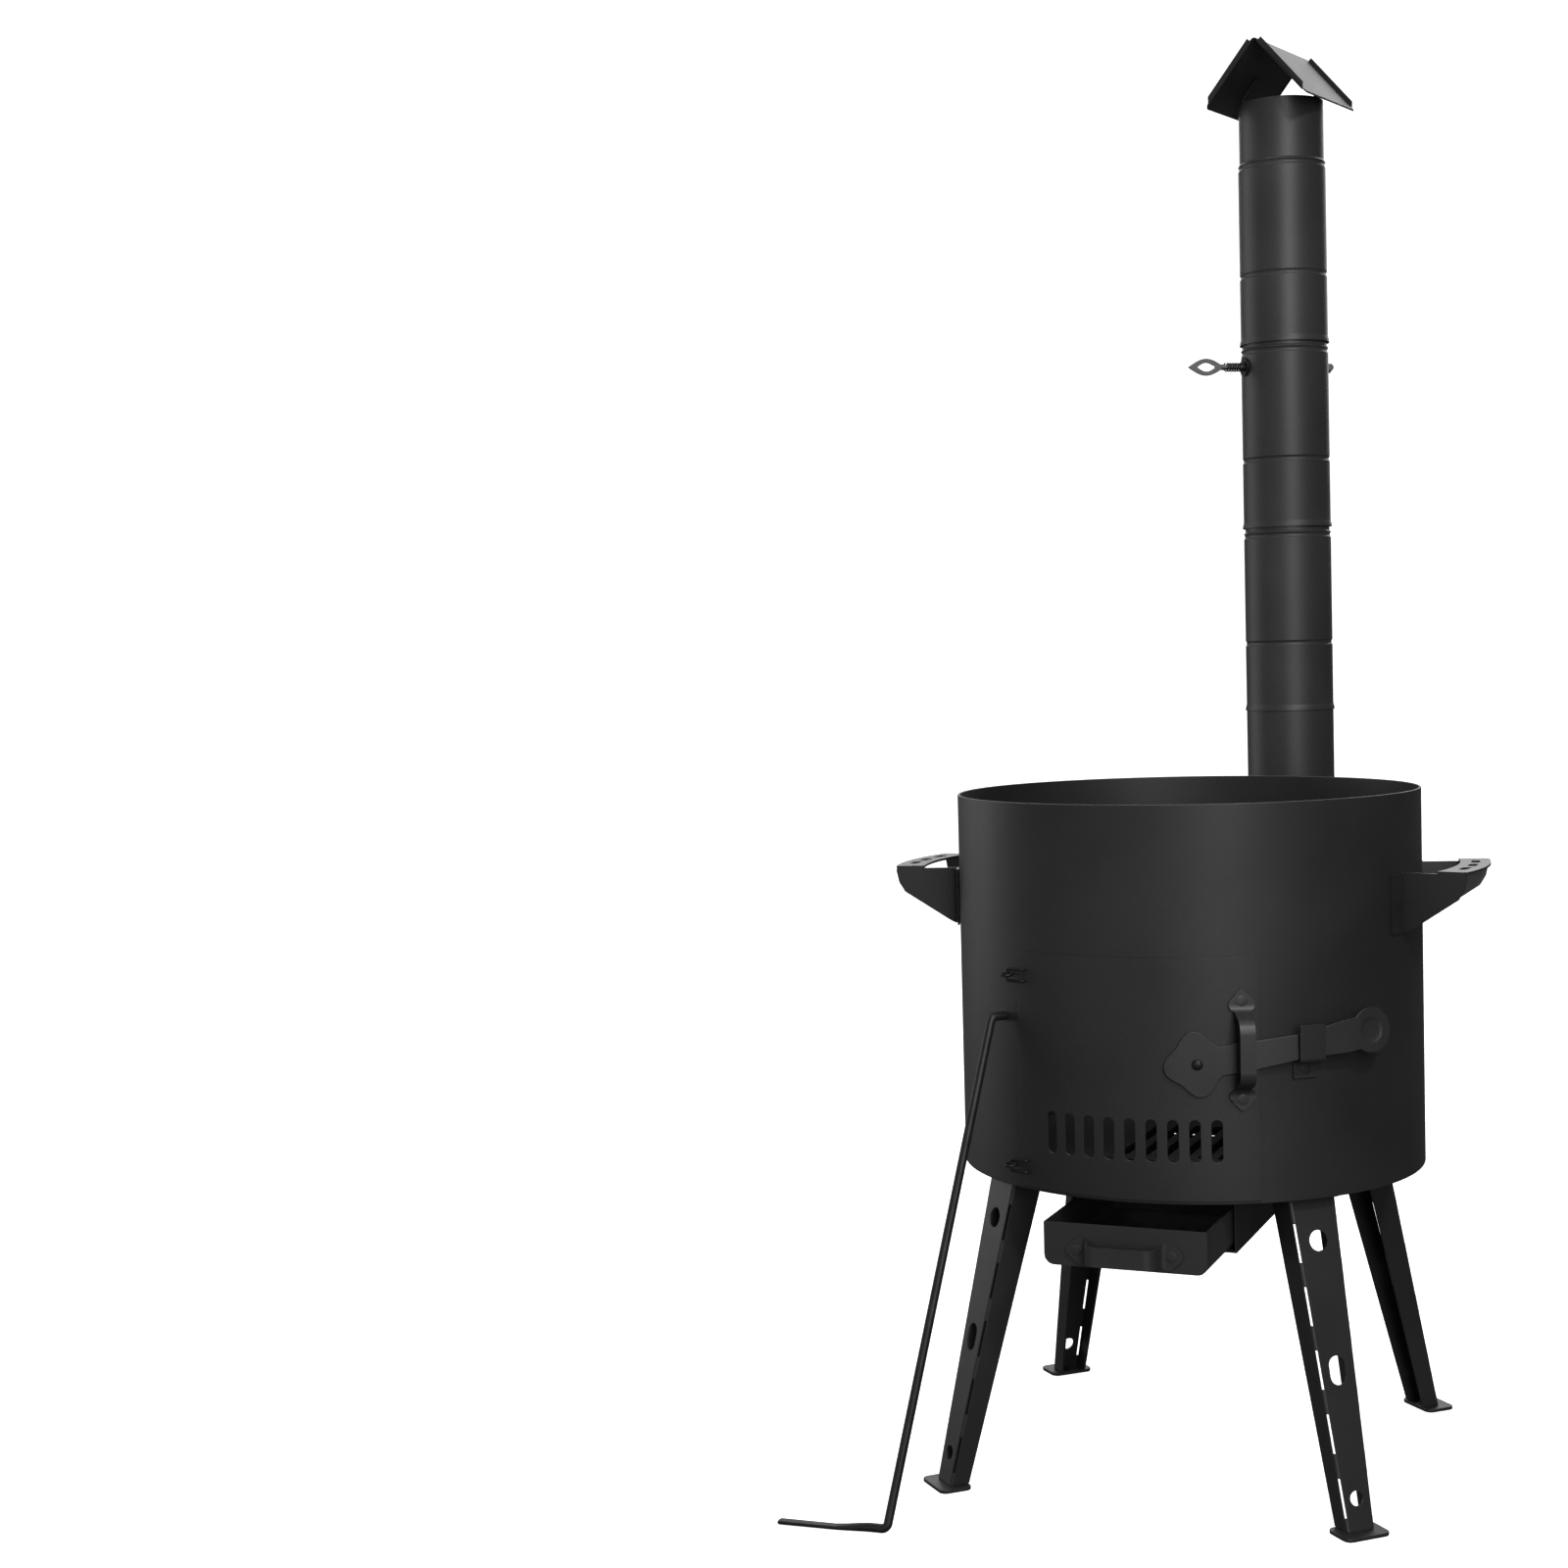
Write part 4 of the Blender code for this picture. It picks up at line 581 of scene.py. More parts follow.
# The carry handles: each is one folded 2 mm sheet. A curved grip with three slots lies on two cheeks,
# which slope back to the drum and turn out there to flanges, each held by one rivet.
handle_enamel = enamel("handle_enamel", roughness=0.40)
handle_outer, handle_inner, handle_top, handle_low = 0.244, 0.220, 0.494, 0.445
handle_half_deg, grip_slot_deg, grip_slot_half, grip_slot_radius = 15, 7.6, 0.0065, 0.0035
handle_half_arc = radians(handle_half_deg) * drum_radius
for name, side in left_and_right:
    grip_low, sunk = handle_top - sheet, 0.001
    spread = handle_half_deg - degrees(sunk / handle_outer)
    outline = arc((0, 0), handle_outer, -90 - spread, -90 + spread, 33)
    outline += arc((0, 0), handle_inner, -90 + spread, -90 - spread, 33)
    slots = []
    for k in (-1, 0, 1):
        place = shift((0, -(handle_inner + handle_outer) / 2, grip_low))
        place = turned(radians(grip_slot_deg * k)) @ place @ turned(tau / 4)
        slot_outline = round_ended(0, 0, grip_slot_half, grip_slot_radius, 11)
        slots.append(moved(slab(slot_outline, -0.01, 0.01, "XY"), place))
    shape = combined(slab(outline, grip_low, handle_top, "XY"), gathered(slots))
    near = drum_radius + gap
    cheek = [(-near - sunk, grip_low), (-handle_inner - sunk, grip_low), (-handle_inner - sunk, handle_top)]
    cheek += arc((-handle_outer + 0.004, handle_top - 0.004), 0.004, 90, 180, 7)
    cheek += [(-handle_outer + 0.0022, handle_top - 0.014), (-handle_outer + 0.007, handle_top - 0.022)]
    cheek += [(-near - 0.008, handle_low + 0.002), (-near - 0.004, handle_low), (-near - sunk, handle_low)]
    for end in (-1, 1):
        turn = turned(radians(handle_half_deg * end))
        shape = combined(shape, moved(slab(cheek, 0, -end * sheet, "YZ"), turn), "UNION")
        left, right = sorted((end * (handle_half_arc - 0.003), end * (handle_half_arc + 0.018)))
        flange = [(left, handle_low), (right, handle_low), (right, grip_low), (left, grip_low)]
        shape = combined(shape, wrapped(slab(flange, -gap, -gap - sheet), drum_radius), "UNION")
    shape = eased(shape, 0.0004)
    shape = moved(shape, turned(side * tau / 4))
    piece(f"carry_handle_{name}", shape, handle_enamel, "stove", f"handle_{name}")

# The ash drawer's housing: a channel of 1.5 mm sheet with a welded back, open at the front. It hangs
# under the bottom by two flanges.
housing_enamel = enamel("housing_enamel", roughness=0.50)
housing_front, housing_back, housing_low, housing_top = -0.130, 0.070, 0.1992, 0.2492
half, gauge, flange = 0.0655, 0.0015, 0.010
right = [(half + gauge, housing_low), (half + gauge, housing_top - gauge)]
right += [(half + gauge + flange, housing_top - gauge), (half + gauge + flange, housing_top)]
right += [(half, housing_top), (half, housing_low + gauge)]
left = [(-x, z) for x, z in reversed(right)]
channel = slab(left[2:] + right + left[:2], housing_front, housing_back)
wall_half, wall_low = half + 0.0007, housing_low + 0.0007
outline = [(-wall_half, wall_low), (wall_half, wall_low)]
outline += [(wall_half, housing_top), (-wall_half, housing_top)]
back_wall = slab(outline, housing_back - gauge, housing_back)
channel = eased(combined(channel, back_wall, "UNION"), 0.0003)
piece("housing_channel", channel, housing_enamel, "stove", "drawer_housing")

# The ash drawer: folded 1.5 mm sheet with rounded lower corners, open on top. It slides in its housing,
# and stands 83 mm out of it.
drawer_enamel = enamel("drawer_enamel", dark=0.0160, pale=0.0260, roughness=0.39)
drawer_half, drawer_corner, drawer_length = 0.064, 0.008, 0.190


def drawer_end(inset, high):
    half, low, radius = drawer_half - inset, drawer_low + inset, drawer_corner - inset
    left = arc((radius - half, low + radius), radius, 180, 270, 9)
    right = arc((half - radius, low + radius), radius, 270, 360, 9)
    return [(-half, high)] + left + right + [(half, high)]


tray = slab(drawer_end(0, drawer_high), drawer_front, drawer_front + drawer_length)
hollow = slab(drawer_end(gauge, 0.250), drawer_front + gauge, drawer_front + drawer_length - gauge)
piece("drawer_tray", eased(combined(tray, hollow), 0.0004), drawer_enamel, "drawer", "ash_drawer")

# The legs: four splayed, tapered channels of 2 mm sheet with the web outside, each bolted under the
# bottom by a plate and standing on another. Slits along both folds let the sheet be bent by hand, and
# three openings lighten each web: a round one, a plain long one and a small round one.
leg_enamel = enamel("leg_enamel", dark=0.0115, pale=0.0200, roughness=0.39)
leg_low, leg_high = 0.0033, 0.2459
foot_circle, leg_circle = 0.237, 0.178


def leg_sizes(z):
    """How far out the web stands at a height, half its width, and how far the flanges reach in."""
    share = (z - leg_low) / (leg_high - leg_low)
    web = foot_circle + (leg_circle - foot_circle) * share
    return web, (0.025 + 0.017 * share) / 2, 0.017 + 0.009 * share


def leg_section(z):
    web, half, flange = leg_sizes(z)
    bend_radius = 0.0028
    centre = (web - bend_radius, half - bend_radius)
    side = arc(centre, bend_radius, 0, 90, 6) + [(web - flange, half), (web - flange, half - sheet)]
    side += arc(centre, bend_radius - sheet, 90, 0, 4)
    return side + [(x, -y) for x, y in reversed(side)]


def fold_slit(low, high, side):
    """The cutter for one slit, straight through a fold of the channel."""
    outward = Vector((1, side, 0)).normalized() * 0.01
    across = Vector((1, -side, 0)).normalized() * 0.001
    corners = (outward + across, outward - across, -outward - across, -outward + across)
    return lofted(*[[place + corner for corner in corners] for place in (low, high)])


channel = lofted(*[[(x, y, z) for x, y in leg_section(z)] for z in (leg_low, leg_high)])
slope = atan2(foot_circle - leg_circle, leg_high - leg_low)
square = Vector((cos(slope), 0, sin(slope))) * 0.01
cutters = []
for z, radius in ((0.2145, 0.0080), (0.0265, 0.0056)):
    centre = Vector((leg_sizes(z)[0], 0, z))
    cutters.append(rod(centre - square, centre + square, radius, 40))
long_z = 0.119
long_place = shift((leg_sizes(long_z)[0], 0, long_z)) @ turned(-slope, "Y")
cutters.append(moved(slab(round_ended(0, 0, 0.004, 0.007, 17), -0.01, 0.01, "YZ"), long_place))
slit_first, slit_pitch, slit_half = 0.10, 0.192, 0.0595
for side in (1, -1):
    low, high = (Vector((leg_sizes(z)[0], side * leg_sizes(z)[1], z)) for z in (leg_low, leg_high))
    for k in range(5):
        middle = slit_first + slit_pitch * k
        slit_low, slit_high = low.lerp(high, middle - slit_half), low.lerp(high, middle + slit_half)
        cutters.append(fold_slit(slit_low, slit_high, side))
leg_pattern = eased(combined(channel, gathered(cutters)), 0.0003)
leg_names = ("rear_right", "rear_left", "front_left", "front_right")
pad_thick, foot_near, foot_far, foot_half = 0.003, 0.220, 0.248, 0.020
mount_near, mount_far, mount_half, pad_corner = 0.138, 0.184, 0.023, 0.006
for k, name in enumerate(leg_names):
    turn = turned(radians(45 + 90 * k))
    piece(f"leg_channel_{name}", moved(leg_pattern.copy(), turn), leg_enamel, "stove", f"leg_{name}")
    foot = rounded((foot_near, -foot_half), (foot_far, foot_half), pad_corner)
    foot = moved(eased(slab(foot, 0, pad_thick, "XY"), 0.0006, segments=3), turn)
    piece(f"foot_pad_{name}", foot, leg_enamel, "stove", f"foot_plate_{name}")
    mount = rounded((mount_near, -mount_half), (mount_far, mount_half), pad_corner)
    mount = slab(mount, leg_high + gap, leg_high + gap + pad_thick, "XY")
    mount = moved(eased(mount, 0.0004), turn)
    piece(f"mount_pad_{name}", mount, leg_enamel, "stove", f"mounting_plate_{name}")
leg_pattern.free()

# The fasteners: steel rivets hold the latch, the keeper, the pulls and the handles, and hexagon bolts
# hold the legs. Only the latch's rivet stands out as a dome, and the others are set nearly flush and
# painted over. A Geometry Nodes tree sets any of them on its places, each turned square to its sheet.
fix_tree, given, result = tree_of("fasteners", Pattern="Object")
pattern = step(fix_tree, "GeometryNodeObjectInfo", Object=given.outputs["Pattern"])
facing = step(fix_tree, "GeometryNodeInputNamedAttribute", {"data_type": "FLOAT_VECTOR"}, Name="facing")
squared = step(fix_tree, "FunctionNodeAlignRotationToVector", {"axis": "Z"}, Vector=facing.outputs[0])
set_in = step(
    fix_tree, "GeometryNodeInstanceOnPoints", Points=given.outputs["Geometry"],
    Instance=pattern.outputs["Geometry"], Rotation=squared.outputs[0],
)
finish_tree(fix_tree, set_in.outputs[0], given, result)


def fixed(name, pattern, places, material, body, *stands_for, slot="black_heat_paint"):
    """places are (place, facing) pairs, one for each fastener of one body."""
    points = bpy.data.meshes.new(name + "_places")
    points.from_pydata([tuple(place) for place, facing in places], [], [])
    layer = points.attributes.new("facing", "FLOAT_VECTOR", "POINT")
    for item, (place, facing) in zip(layer.data, places):
        item.vector = facing
    mesh = grown(name, points, fix_tree, Pattern=pattern, Finish=material)
    return piece(name, mesh, material, body, *stands_for, slot=slot)


def turned_pattern(name, profile, sides):
    """A hidden pattern for the fasteners: a profile from axis to axis, turned round Z."""
    return bpy.data.objects.new(name, meshed(spun(profile, sides, closed=False)))


def rivet_pattern(grip, rise=0.0003):
    """A rivet through sheets of a thickness, with its head's dome above them and a closing head below."""
    head, shank = 0.0042, 0.002
    dome = [(head * cos(t), rise * sin(t)) for t in (radians(90 - 7.5 * k) for k in range(12))]
    dome[0] = (0, rise)
    tail = [(head, 0), (shank, 0), (shank, -grip), (0.0033, -grip), (0.0035, -grip - 0.0003)]
    tail += [(0.0033, -grip - 0.001), (0, -grip - 0.001)]
    return turned_pattern("rivet", dome + tail, 28)


def through_drum(along, out, z):
    return on_drum(along, out, z), outward_at(along)


latch_place = through_drum(latch_along, on_strap, latch_z)
latch_pattern = rivet_pattern(on_strap + gap, 0.0022)
fixed("latch_rivet_head", latch_pattern, [latch_place], dark_wire, "door", "latch_rivet", slot="dark_steel")
spread = (pull_length + pull_opening) / 4
places = [through_drum(pull_along, on_strap, pull_z + end * spread) for end in (-1, 1)]
ends = [f"door_pull_rivet_{end}" for end in ("lower", "upper")]
fixed("door_pull_rivets", rivet_pattern(on_strap), places, pull_enamel, "door", *ends)
spread = (drawer_pull_length + drawer_pull_opening) / 4
heads = [Vector((end * spread, drawer_front - on_sheet, drawer_pull_z)) for end in (-1, 1)]
places = [(head, Vector((0, -1, 0))) for head in heads]
ends = [f"drawer_pull_rivet_{end}" for end in ("left", "right")]
fixed("drawer_pull_rivets", rivet_pattern(0.0044), places, pull_enamel, "drawer", *ends)
places = [through_drum((keeper_left + keeper_right) / 2, on_sheet, floor_z - 0.0085)]
for side in (-1, 1):
    for end in (-1, 1):
        along = side * tau / 4 * drum_radius + end * (handle_half_arc + 0.009)
        places.append(through_drum(along, on_sheet, handle_top - 0.0245))
ends = [f"handle_{side}_rivet_{end}" for side in ("left", "right") for end in ("front", "rear")]
fixed("shell_rivets", rivet_pattern(on_strap), places, handle_enamel, "stove", "keeper_rivet", *ends)
bolt_top, bolt_circle, bolt_head, bolt_shank = 0.2528, 0.160, 0.0065, 0.003
under = leg_high - bolt_top
bolt = [(0, 0.003), (0.0056, 0.003), (bolt_head, 0.0024), (bolt_head, 0), (bolt_shank, 0)]
bolt += [(bolt_shank, under), (bolt_head, under), (bolt_head, under - 0.0044)]
bolt += [(0.0058, under - 0.005), (0, under - 0.005)]
places = []
for k in range(4):
    turn = radians(45 + 90 * k)
    head = Vector((bolt_circle * cos(turn), bolt_circle * sin(turn), bolt_top))
    places.append((head, Vector((0, 0, 1))))
bolts = [f"leg_bolt_{name}" for name in leg_names]
bolt_pattern = turned_pattern("bolt", bolt, 6)
fixed("leg_bolts", bolt_pattern, places, dark_wire, "stove", *bolts, slot="dark_steel")

# The flue's outlet: a short tube of 1 mm sheet, welded in a saddle flange that follows the drum's back
# wall round the flue hole.
flue_enamel = enamel("flue_enamel", dark=0.0200, pale=0.0340, roughness=0.385)
spigot_radius, flue_wall, saddle_radius, tube_near, tube_far = 0.0406, 0.001, 0.053, 0.182, 0.230
disc = arc((0, outlet_z), saddle_radius, 0, 355, 72)
saddle = wrapped(eased(slab(disc, -gap - 0.0015, -gap), 0.0003), drum_radius, 0.003)
moved(saddle, turned(pi))
tube = rod((0, tube_near, outlet_z), (0, tube_far, outlet_z), spigot_radius, 96)
bore = rod((0, 0.100, outlet_z), (0, 0.240, outlet_z), spigot_radius - flue_wall, 96)
collar = combined(combined(saddle, tube, "UNION"), bore)
piece("outlet_saddle", collar, flue_enamel, "stove", "outlet_collar")

# The elbow: five gores of 1 mm sheet, mitred and joined by rolled seams, that turn the flue upright, and
# a spigot on top. Its seams show as low ridges round every joint.
flue_radius, flue_y, elbow_bend, elbow_mouth, elbow_top = 0.042, 0.420, 0.095, 0.1921, 0.607
gores, elbow_sides = 5, 96
bend_centre = Vector((0, flue_y - elbow_bend, outlet_z + elbow_bend))
elbow_start, elbow_end = Vector((0, elbow_mouth, outlet_z)), Vector((0, flue_y, elbow_top))
half_gore = tau / 8 / gores
corners = []
for k in range(gores):
    turn = (2 * k + 1) * half_gore
    reach = elbow_bend / cos(half_gore)
    corners.append(bend_centre + Vector((0, sin(turn), -cos(turn))) * reach)
level, upright = Vector((0, 1, 0)), Vector((0, 0, 1))
seam = ((-0.0030, 0), (-0.0020, 0.0009), (-0.0008, 0.0013), (0.0008, 0.0013), (0.0020, 0.0009), (0.0030, 0))
stations = [(elbow_start, level, level, flue_radius)]
for k, corner in enumerate(corners):
    before = corners[k - 1] if k else elbow_start
    after = corners[k + 1] if k < gores - 1 else elbow_end
    into, out = (corner - before).normalized(), (after - corner).normalized()
    mitre = (into + out).normalized()
    for along, rise in seam:
        way = into if along < 0 else out
        stations.append((corner + way * along, way, mitre, flue_radius + rise))
shoulder, spigot_length = 0.0025, 0.055
for rise, radius in ((0, flue_radius), (shoulder, spigot_radius), (shoulder + spigot_length, spigot_radius)):
    stations.append((elbow_end + upright * rise, upright, upright, radius))
shape = bmesh.new()
walls = []
crosswise = Vector((1, 0, 0))
for inset in (0, flue_wall):
    rings = []
    for centre, along, mitre, radius in stations:
        sideways = along.cross(crosswise)
        ring = []
        for k in range(elbow_sides):
            turn = tau * k / elbow_sides
            offset = (crosswise * cos(turn) + sideways * sin(turn)) * (radius - inset)
            ring.append(shape.verts.new(centre + offset - along * (offset.dot(mitre) / along.dot(mitre))))
        rings.append(ring)
    walls.append(rings)
for rings in walls:
    for first, second in zip(rings, rings[1:]):
        bridged(shape, first, second)
for end in (0, -1):
    bridged(shape, walls[0][end], walls[1][end])
piece("gored_elbow", shape, flue_enamel, "stove", "flue_elbow", smooth_deg=28)

# The flue pipe: three equal sections of 1 mm sheet, each with a flared socket, two rolled grooves and a
# spigot that the next socket slips over. A flat lock seam runs up the back of each one.
section_pitch, lock_low, lock_high, lock_turn = 0.179, 0.0700, 0.1670, pi + 0.35
socket_z = [elbow_top + gap + k * section_pitch for k in range(3)]
groove_half, groove_depth, lower_groove, upper_groove = 0.0025, 0.0010, 0.066, 0.171
step_z = upper_groove + groove_half
section_top = step_z + 0.0595


def pipe_wall(inset):
    body, spigot = flue_radius - inset, spigot_radius - inset
    flare = ((0.0012, 0), (0.0011, 0.0012), (0.0007, 0.0035), (0.0002, 0.0052), (0, 0.006))
    wall = [(body + out, height) for out, height in flare]
    for groove in (lower_groove, upper_groove):
        for k in range(13):
            depth = groove_depth * sin(pi * k / 12) ** 0.8
            wall.append((body - depth, groove + groove_half * (k / 6 - 1)))
    wall += [(body - 0.0002, step_z + 0.0006), (spigot + 0.0002, step_z + 0.0020), (spigot, step_z + 0.0026)]
    return wall + [(spigot, section_top)]


profile = pipe_wall(0) + pipe_wall(flue_wall)[::-1]
lock_seam = [(-0.0045, 0.0002), (0.0045, 0.0002), (0.0045, -0.0008)]
lock_seam += [(0.0038, -0.0011), (-0.0038, -0.0011), (-0.0045, -0.0008)]
damper_rise, damper_turn, spindle_bore = 0.157, turned(radians(37.5)), 0.0028
for k, name in enumerate(("lower", "middle", "upper")):
    pipe = spun(profile, 96)
    fold = slab([(x, -flue_radius + y) for x, y in lock_seam], lock_low, lock_high, "XY")
    fold = moved(eased(fold, 0.0003, 40), turned(lock_turn))
    pipe = combined(pipe, fold, "UNION")
    if name == "middle":
        holes = rod((-0.06, 0, damper_rise), (0.06, 0, damper_rise), spindle_bore, 24)
        pipe = combined(pipe, moved(holes, damper_turn))
    moved(pipe, shift((0, flue_y, socket_z[k])))
    piece(f"flue_pipe_{name}", pipe, flue_enamel, "stove", f"flue_section_{name}", smooth_deg=30)

# The damper: a steel disc in the pipe on a turning spindle, held by a spring and a washer on its left. The
# spindle ends there in a flattened ring, and a nut sits on its right. All is zinc plated but the disc: the
# nut is bright, the ring has gone dull, and soot has blackened the washer and the spring.


def plating(name, dark, pale, roughness):
    return finish(
        name,
        lambda s: s.mix(s.noise(140, 3), (dark, dark, dark * 1.02, 1), (pale, pale, pale * 1.02, 1)),
        lambda s: roughness + s.noise(220, 3) * 0.16,
        metallic=1.0,
        bumps=[((500, 3), 0.12, 0.0002)],
    )


bright_zinc = plating("bright_zinc", 0.42, 0.62, 0.26)
dull_zinc = plating("dull_zinc", 0.15, 0.24, 0.42)
sooted_zinc = plating("sooted_zinc", 0.025, 0.050, 0.45)
damper_place = shift((0, flue_y, socket_z[1] + damper_rise)) @ damper_turn
blade_radius, blade_half, sleeve_radius, sleeve_half = 0.0385, 0.00075, 0.0040, 0.028
washer_radius, nut_radius, spindle_radius, spindle_end = 0.009, 0.0058, 0.0025, 0.0513


def level_rod(near, far, radius, sides=32):
    return rod((near, 0, 0), (far, 0, 0), radius, sides)


disc = rod((0, -blade_half, 0), (0, blade_half, 0), blade_radius, 96)
blade = combined(disc, level_rod(-sleeve_half, sleeve_half, sleeve_radius), "UNION")
blade = combined(blade, level_rod(-0.05, 0.05, spindle_bore))
piece("damper_disc", moved(blade, damper_place), dark_wire, "damper", "damper_blade", slot="dark_steel")
root, root_half, loop_length, loop_half, loop_thick = -0.0642, 0.0030, 0.038, 0.00825, 0.0022
edge = []
for k in range(33):
    share = k / 32
    half = max(root_half * (1 - share), loop_half * sin(pi * share))
    edge.append((root - loop_length * share, half))
outline = edge[:-1] + [(root - loop_length, 0)] + [(x, -z) for x, z in reversed(edge[:-1])]
middle = root - loop_length / 2
lens = [(middle + (x - middle) * 0.5, z * 0.5) for x, z in outline[1:-1]]
loop = combined(slab(outline, -loop_thick / 2, loop_thick / 2), slab(lens, -0.01, 0.01))
loop = eased(loop, 0.0006, 50, 3)
spindle = eased(combined(level_rod(root - 0.003, spindle_end, spindle_radius), loop, "UNION"), 0.0003)
washer = combined(level_rod(-0.0437, -0.0423, washer_radius, 48), level_rod(-0.05, -0.03, spindle_bore))
washer = eased(washer, 0.0002)
nut = combined(level_rod(0.0423, 0.0488, nut_radius, 6), level_rod(0.03, 0.06, spindle_bore))
nut = eased(nut, 0.0004, 50)
for name, shape, zinc, solid in (
    ("damper_spindle_ring", spindle, dull_zinc, "damper_spindle"),
    ("damper_washer_ring", washer, sooted_zinc, "damper_washer"),
    ("damper_hex_nut", nut, bright_zinc, "damper_nut"),
):
    piece(name, moved(shape, damper_place), zinc, "damper", solid, slot="zinc_plate")
sizes = {size: "Float" for size in ("Radius", "Length", "Turns", "Wire")}
spring_tree, given, result = tree_of("spring", **sizes)
spiral = step(
    spring_tree, "GeometryNodeCurveSpiral", Resolution=28, Rotations=given.outputs["Turns"],
    Start_Radius=given.outputs["Radius"], End_Radius=given.outputs["Radius"], Height=given.outputs["Length"],
)
round_section(spring_tree, spiral, "Wire", 14, given, result)
coil = grown(
    "spring", bpy.data.meshes.new("spring_start"), spring_tree, Radius=0.0038, Length=0.0185, Turns=7.0,
    Wire=0.0007, Finish=sooted_zinc,
)
coil.transform(damper_place @ shift((-0.0447, 0, 0)) @ turned(-tau / 4, "Y"))
piece("damper_spring_coil", coil, sooted_zinc, "damper", "damper_spring", slot="zinc_plate")

# The rain cap: one 1.2 mm sheet folded to a gable, with lips turned up along both open ends, so that the
# ends show as narrow frames. Two straps from inside the top pipe carry it. It is turned a little on the
# flue.
cap_enamel = enamel("cap_enamel", roughness=0.42)
flue_top = socket_z[2] + section_top
cap_ridge, cap_span, cap_drop, cap_sheet, cap_length = flue_top + 0.054, 0.052, 0.060, 0.0012, 0.118
slope = Vector((cap_span, -cap_drop)).normalized()
square = Vector((-slope.y, slope.x))
run = hypot(cap_span, cap_drop)
path = folded([(cap_span, -cap_drop), (0, 0), (-cap_span, -cap_drop)], (0.0045,), 12)
roof = slab(strip(path, -cap_sheet), -cap_length / 2, cap_length / 2)
trim = rounded((-cap_span, -cap_length / 2), (cap_span, cap_length / 2), 0.005, 13)
roof = combined(roof, slab(trim, -0.2, 0.1, "XY"), "INTERSECT")
lip_high = 0.005
first, last, root = slope * lip_high, slope * (run - lip_high), square * cap_sheet / 2
lip = [first - root, last - root]
for rise, back in ((0.0012, 0.0010), (0.0032, 0.0032), (lip_high, lip_high)):
    lip.append(last + square * rise - slope * back)
lip.append(first + square * lip_high)
for side in (-1, 1):
    outline = [(side * point.x, point.y) for point in lip]
    for end in (-1, 1):
        wall = slab(outline, end * cap_length / 2, end * (cap_length / 2 - cap_sheet))
        roof = combined(roof, wall, "UNION")
roof = eased(roof, 0.0003)
cap_place = shift((0, flue_y, cap_ridge)) @ turned(radians(-12.5))
piece("cap_roof", moved(roof, cap_place), cap_enamel, "stove", "rain_cap")
bore = (spigot_radius - flue_wall) * cos(pi / 24)
strap_half, strap_sheet = 0.006, 0.0015
strap_x = sqrt(bore**2 - strap_half**2) - gap
bend_z = strap_x * slope.y / slope.x - gap / -slope.y * 2
tip = Vector((strap_x, bend_z)) - slope * 0.026
path = folded([(strap_x, flue_top - 0.030 - cap_ridge), (strap_x, bend_z), tuple(tip)], (0.003,), 8)
for name, side in left_and_right:
    edge = [(side * x, z) for x, z in strip(path, strap_sheet)]
    strap = eased(slab(edge, -strap_half, strap_half), 0.0003)
    piece(f"cap_strap_bent_{name}", moved(strap, cap_place), cap_enamel, "stove", f"cap_strap_{name}")

# The poker: a 7 mm steel rod whose top is turned in against the drum. Its foot is turned level on the
# ground, and drawn out there to a flat rake toe. It stands loose, against the left of the drum.
poker_radius, ground_gap, poker_along, poker_high = 0.0035, 0.0005, -0.1185, 0.384
poker_top = on_drum(poker_along, 0.013, poker_high)
poker_foot = Vector((poker_top.x - 0.0534, poker_top.y - 0.1192, ground_gap + poker_radius))
toe_turn = radians(184.5)
toeward = Vector((cos(toe_turn), sin(toe_turn), 0))
sideways = Vector((-toeward.y, toeward.x, 0))
toe_start = poker_foot + toeward * 0.014
places = [toe_start, poker_foot, poker_top, on_drum(poker_along, gap, poker_high)]
shaft = bent_wire("poker_shaft", places, poker_radius, 0.005, dark_wire)
end = [vertex for vertex in shaft.verts if (vertex.co - toe_start).length < poker_radius * 1.01]
bmesh.ops.delete(shaft, geom=[f for f in shaft.faces if set(f.verts) <= set(end)], context="FACES_ONLY")
turns = {v: atan2(v.co.z - toe_start.z, (v.co - toe_start).dot(sideways)) for v in end}
last_ring = sorted(end, key=turns.get)
turns = sorted(turns.values())
for along, half, thick, power in (
    (0.022, 0.0036, 0.0030, 0.8), (0.032, 0.0037, 0.0021, 0.5), (0.042, 0.0038, 0.0015, 0.3),
    (0.0865, 0.0040, 0.0015, 0.3), (0.088, 0.0034, 0.0011, 0.3),
):
    middle = poker_foot + toeward * along
    middle.z = ground_gap + (thick if along < 0.087 else 0.0015)
    ring = []
    for t in turns:
        across = copysign(abs(cos(t)) ** power, cos(t)) * half
        rise = copysign(abs(sin(t)) ** power, sin(t)) * thick
        ring.append(shaft.verts.new(middle + sideways * across + Vector((0, 0, rise))))
    bridged(shaft, last_ring, ring)
    last_ring = ring
shaft.faces.new(last_ring)
poker_steel = finish(
    "poker_steel",
    lambda s: s.mix(s.noise(70, 4), (0.018, 0.0178, 0.0175, 1), (0.045, 0.044, 0.043, 1)),
    lambda s: 0.36 + s.noise(120, 3) * 0.2,
    metallic=0.7,
    bumps=[((300, 4), 0.3, 0.0004)],
)
piece("poker_rod", shaft, poker_steel, "stove", "poker", slot="dark_steel")

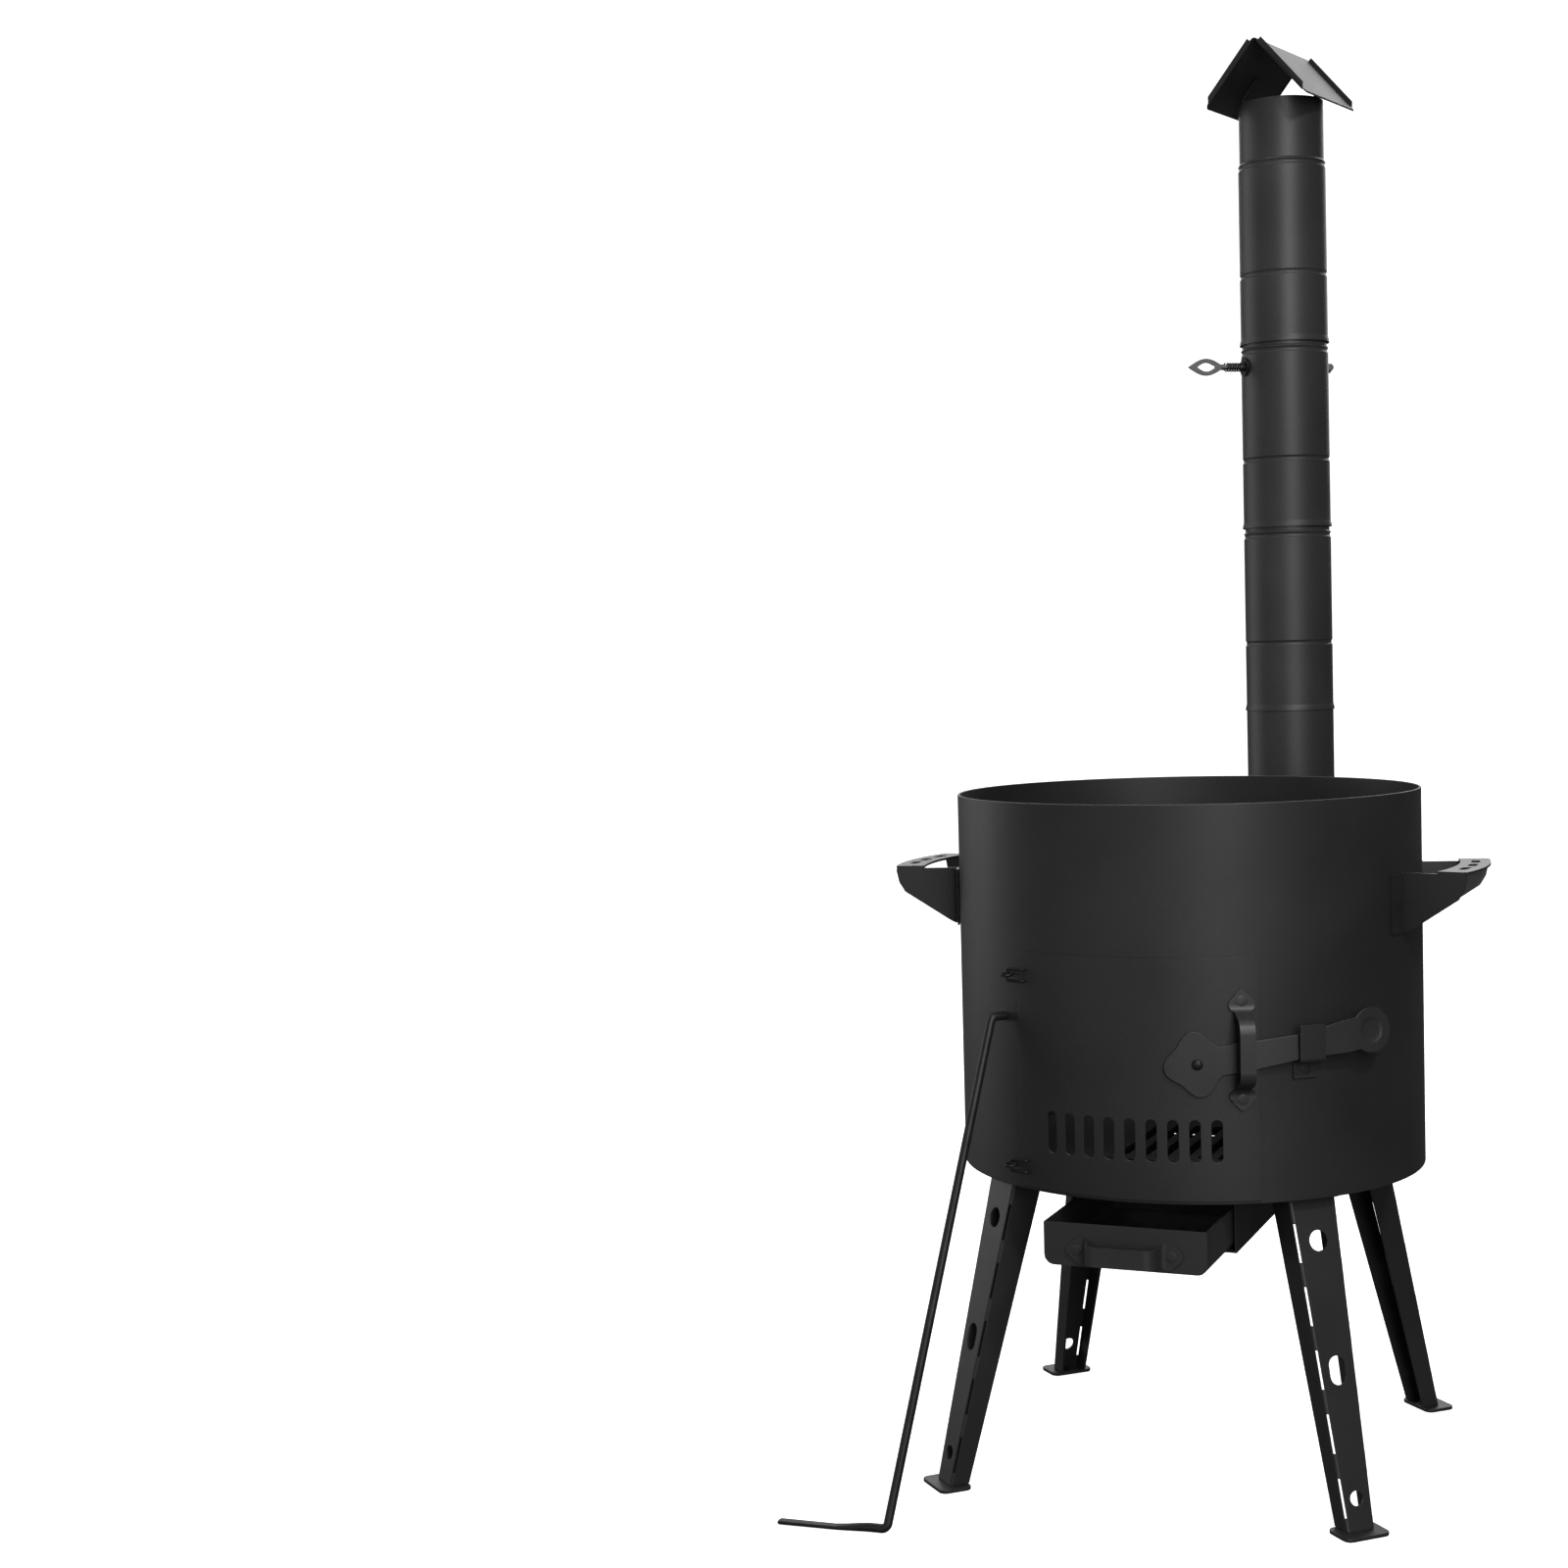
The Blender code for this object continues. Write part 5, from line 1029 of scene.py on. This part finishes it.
# The studio: a round white floor and backdrop that shines by itself and throws no light on the stove. A
# tall soft light and a small hard one stand to the camera's right, a weak wide one to its left, one
# straight to the left for the bright left edges, one behind that glances off the cap, and one above.
floor_white = finish(
    "studio_floor",
    lambda s: s.mix(s.noise(3, 2), (0.80, 0.80, 0.80, 1), (0.83, 0.83, 0.83, 1)),
    lambda s: 0.75 + s.noise(5, 2) * 0.05,
    bumps=[((40, 2), 0.03, 0.002)],
)
floor_shine = floor_white.node_tree.nodes["Principled BSDF"].inputs
floor_shine["Emission Color"].default_value = (1, 1, 1, 1)
floor_shine["Emission Strength"].default_value = 0.92
sweep = [(0.0, 0.0), (2.3, 0.0), (2.8, 0.05), (3.15, 0.22), (3.36, 0.5), (3.45, 0.9), (3.45, 5.0)]
mesh = meshed(spun(sweep, 96, closed=False), "studio_floor")
mesh.flip_normals()
mesh.materials.append(floor_white)
mesh.shade_smooth()
ground = linked("studio_floor", mesh)
ground.visible_glossy = False
ground.visible_diffuse = False
world = bpy.data.worlds.new("studio")
world.use_nodes = True
world.node_tree.nodes["Background"].inputs["Color"].default_value = (1, 1, 1, 1)
world.node_tree.nodes["Background"].inputs["Strength"].default_value = 0.08
bpy.context.scene.world = world
aim = stove_axis + Vector((0, 0.15, 0.55))


def aimed(thing, turn):
    thing.rotation_mode = "QUATERNION"
    thing.rotation_quaternion = turn


def soft_light(name, turn_deg, distance, height, wide, tall, watts):
    """An area light. turn_deg is measured from straight in front of the stove, to the right."""
    data = bpy.data.lights.new(name, "AREA")
    data.shape = "RECTANGLE"
    data.size, data.size_y, data.energy = wide, tall, watts
    light = linked(name, data)
    light.visible_camera = False
    turn = radians(turn_deg)
    light.location = aim + Vector((sin(turn) * distance, -cos(turn) * distance, height))
    aimed(light, (light.location - aim).to_track_quat("Z", "Y"))


soft_light("key", 28, 3.0, 0.9, 0.9, 2.2, 46)
soft_light("sharp", 40, 2.4, 2.0, 0.3, 0.3, 28)
soft_light("left_rim", -98, 2.5, 0.6, 1.5, 2.4, 18)
soft_light("backdrop_glow", -172, 2.2, 1.5, 2.4, 2.4, 58)
soft_light("top", 10, 0.4, 2.8, 2.0, 2.0, 18)
soft_light("fill", -25, 3.0, 0.0, 2.4, 1.2, 7)

# The camera: where the photograph was taken from, to the right of the door and a little above the drum's
# rim. It is turned 23.6 degrees to the left and 3.2 down, and rolled by 1.6.
yaw, pitch, roll = radians(23.60), radians(3.20), radians(-1.56)
camera_data = bpy.data.cameras.new("camera")
camera_data.lens, camera_data.sensor_width = 56.01, 36.0
camera = linked("camera", camera_data)
aimed(camera, (turned(yaw) @ turned(pi / 2 - pitch, "X") @ turned(roll)).to_quaternion())
camera.location = (0.5141, -2.0913, 0.6819)
bpy.context.scene.camera = camera
bpy.context.scene.view_settings.view_transform = "Standard"
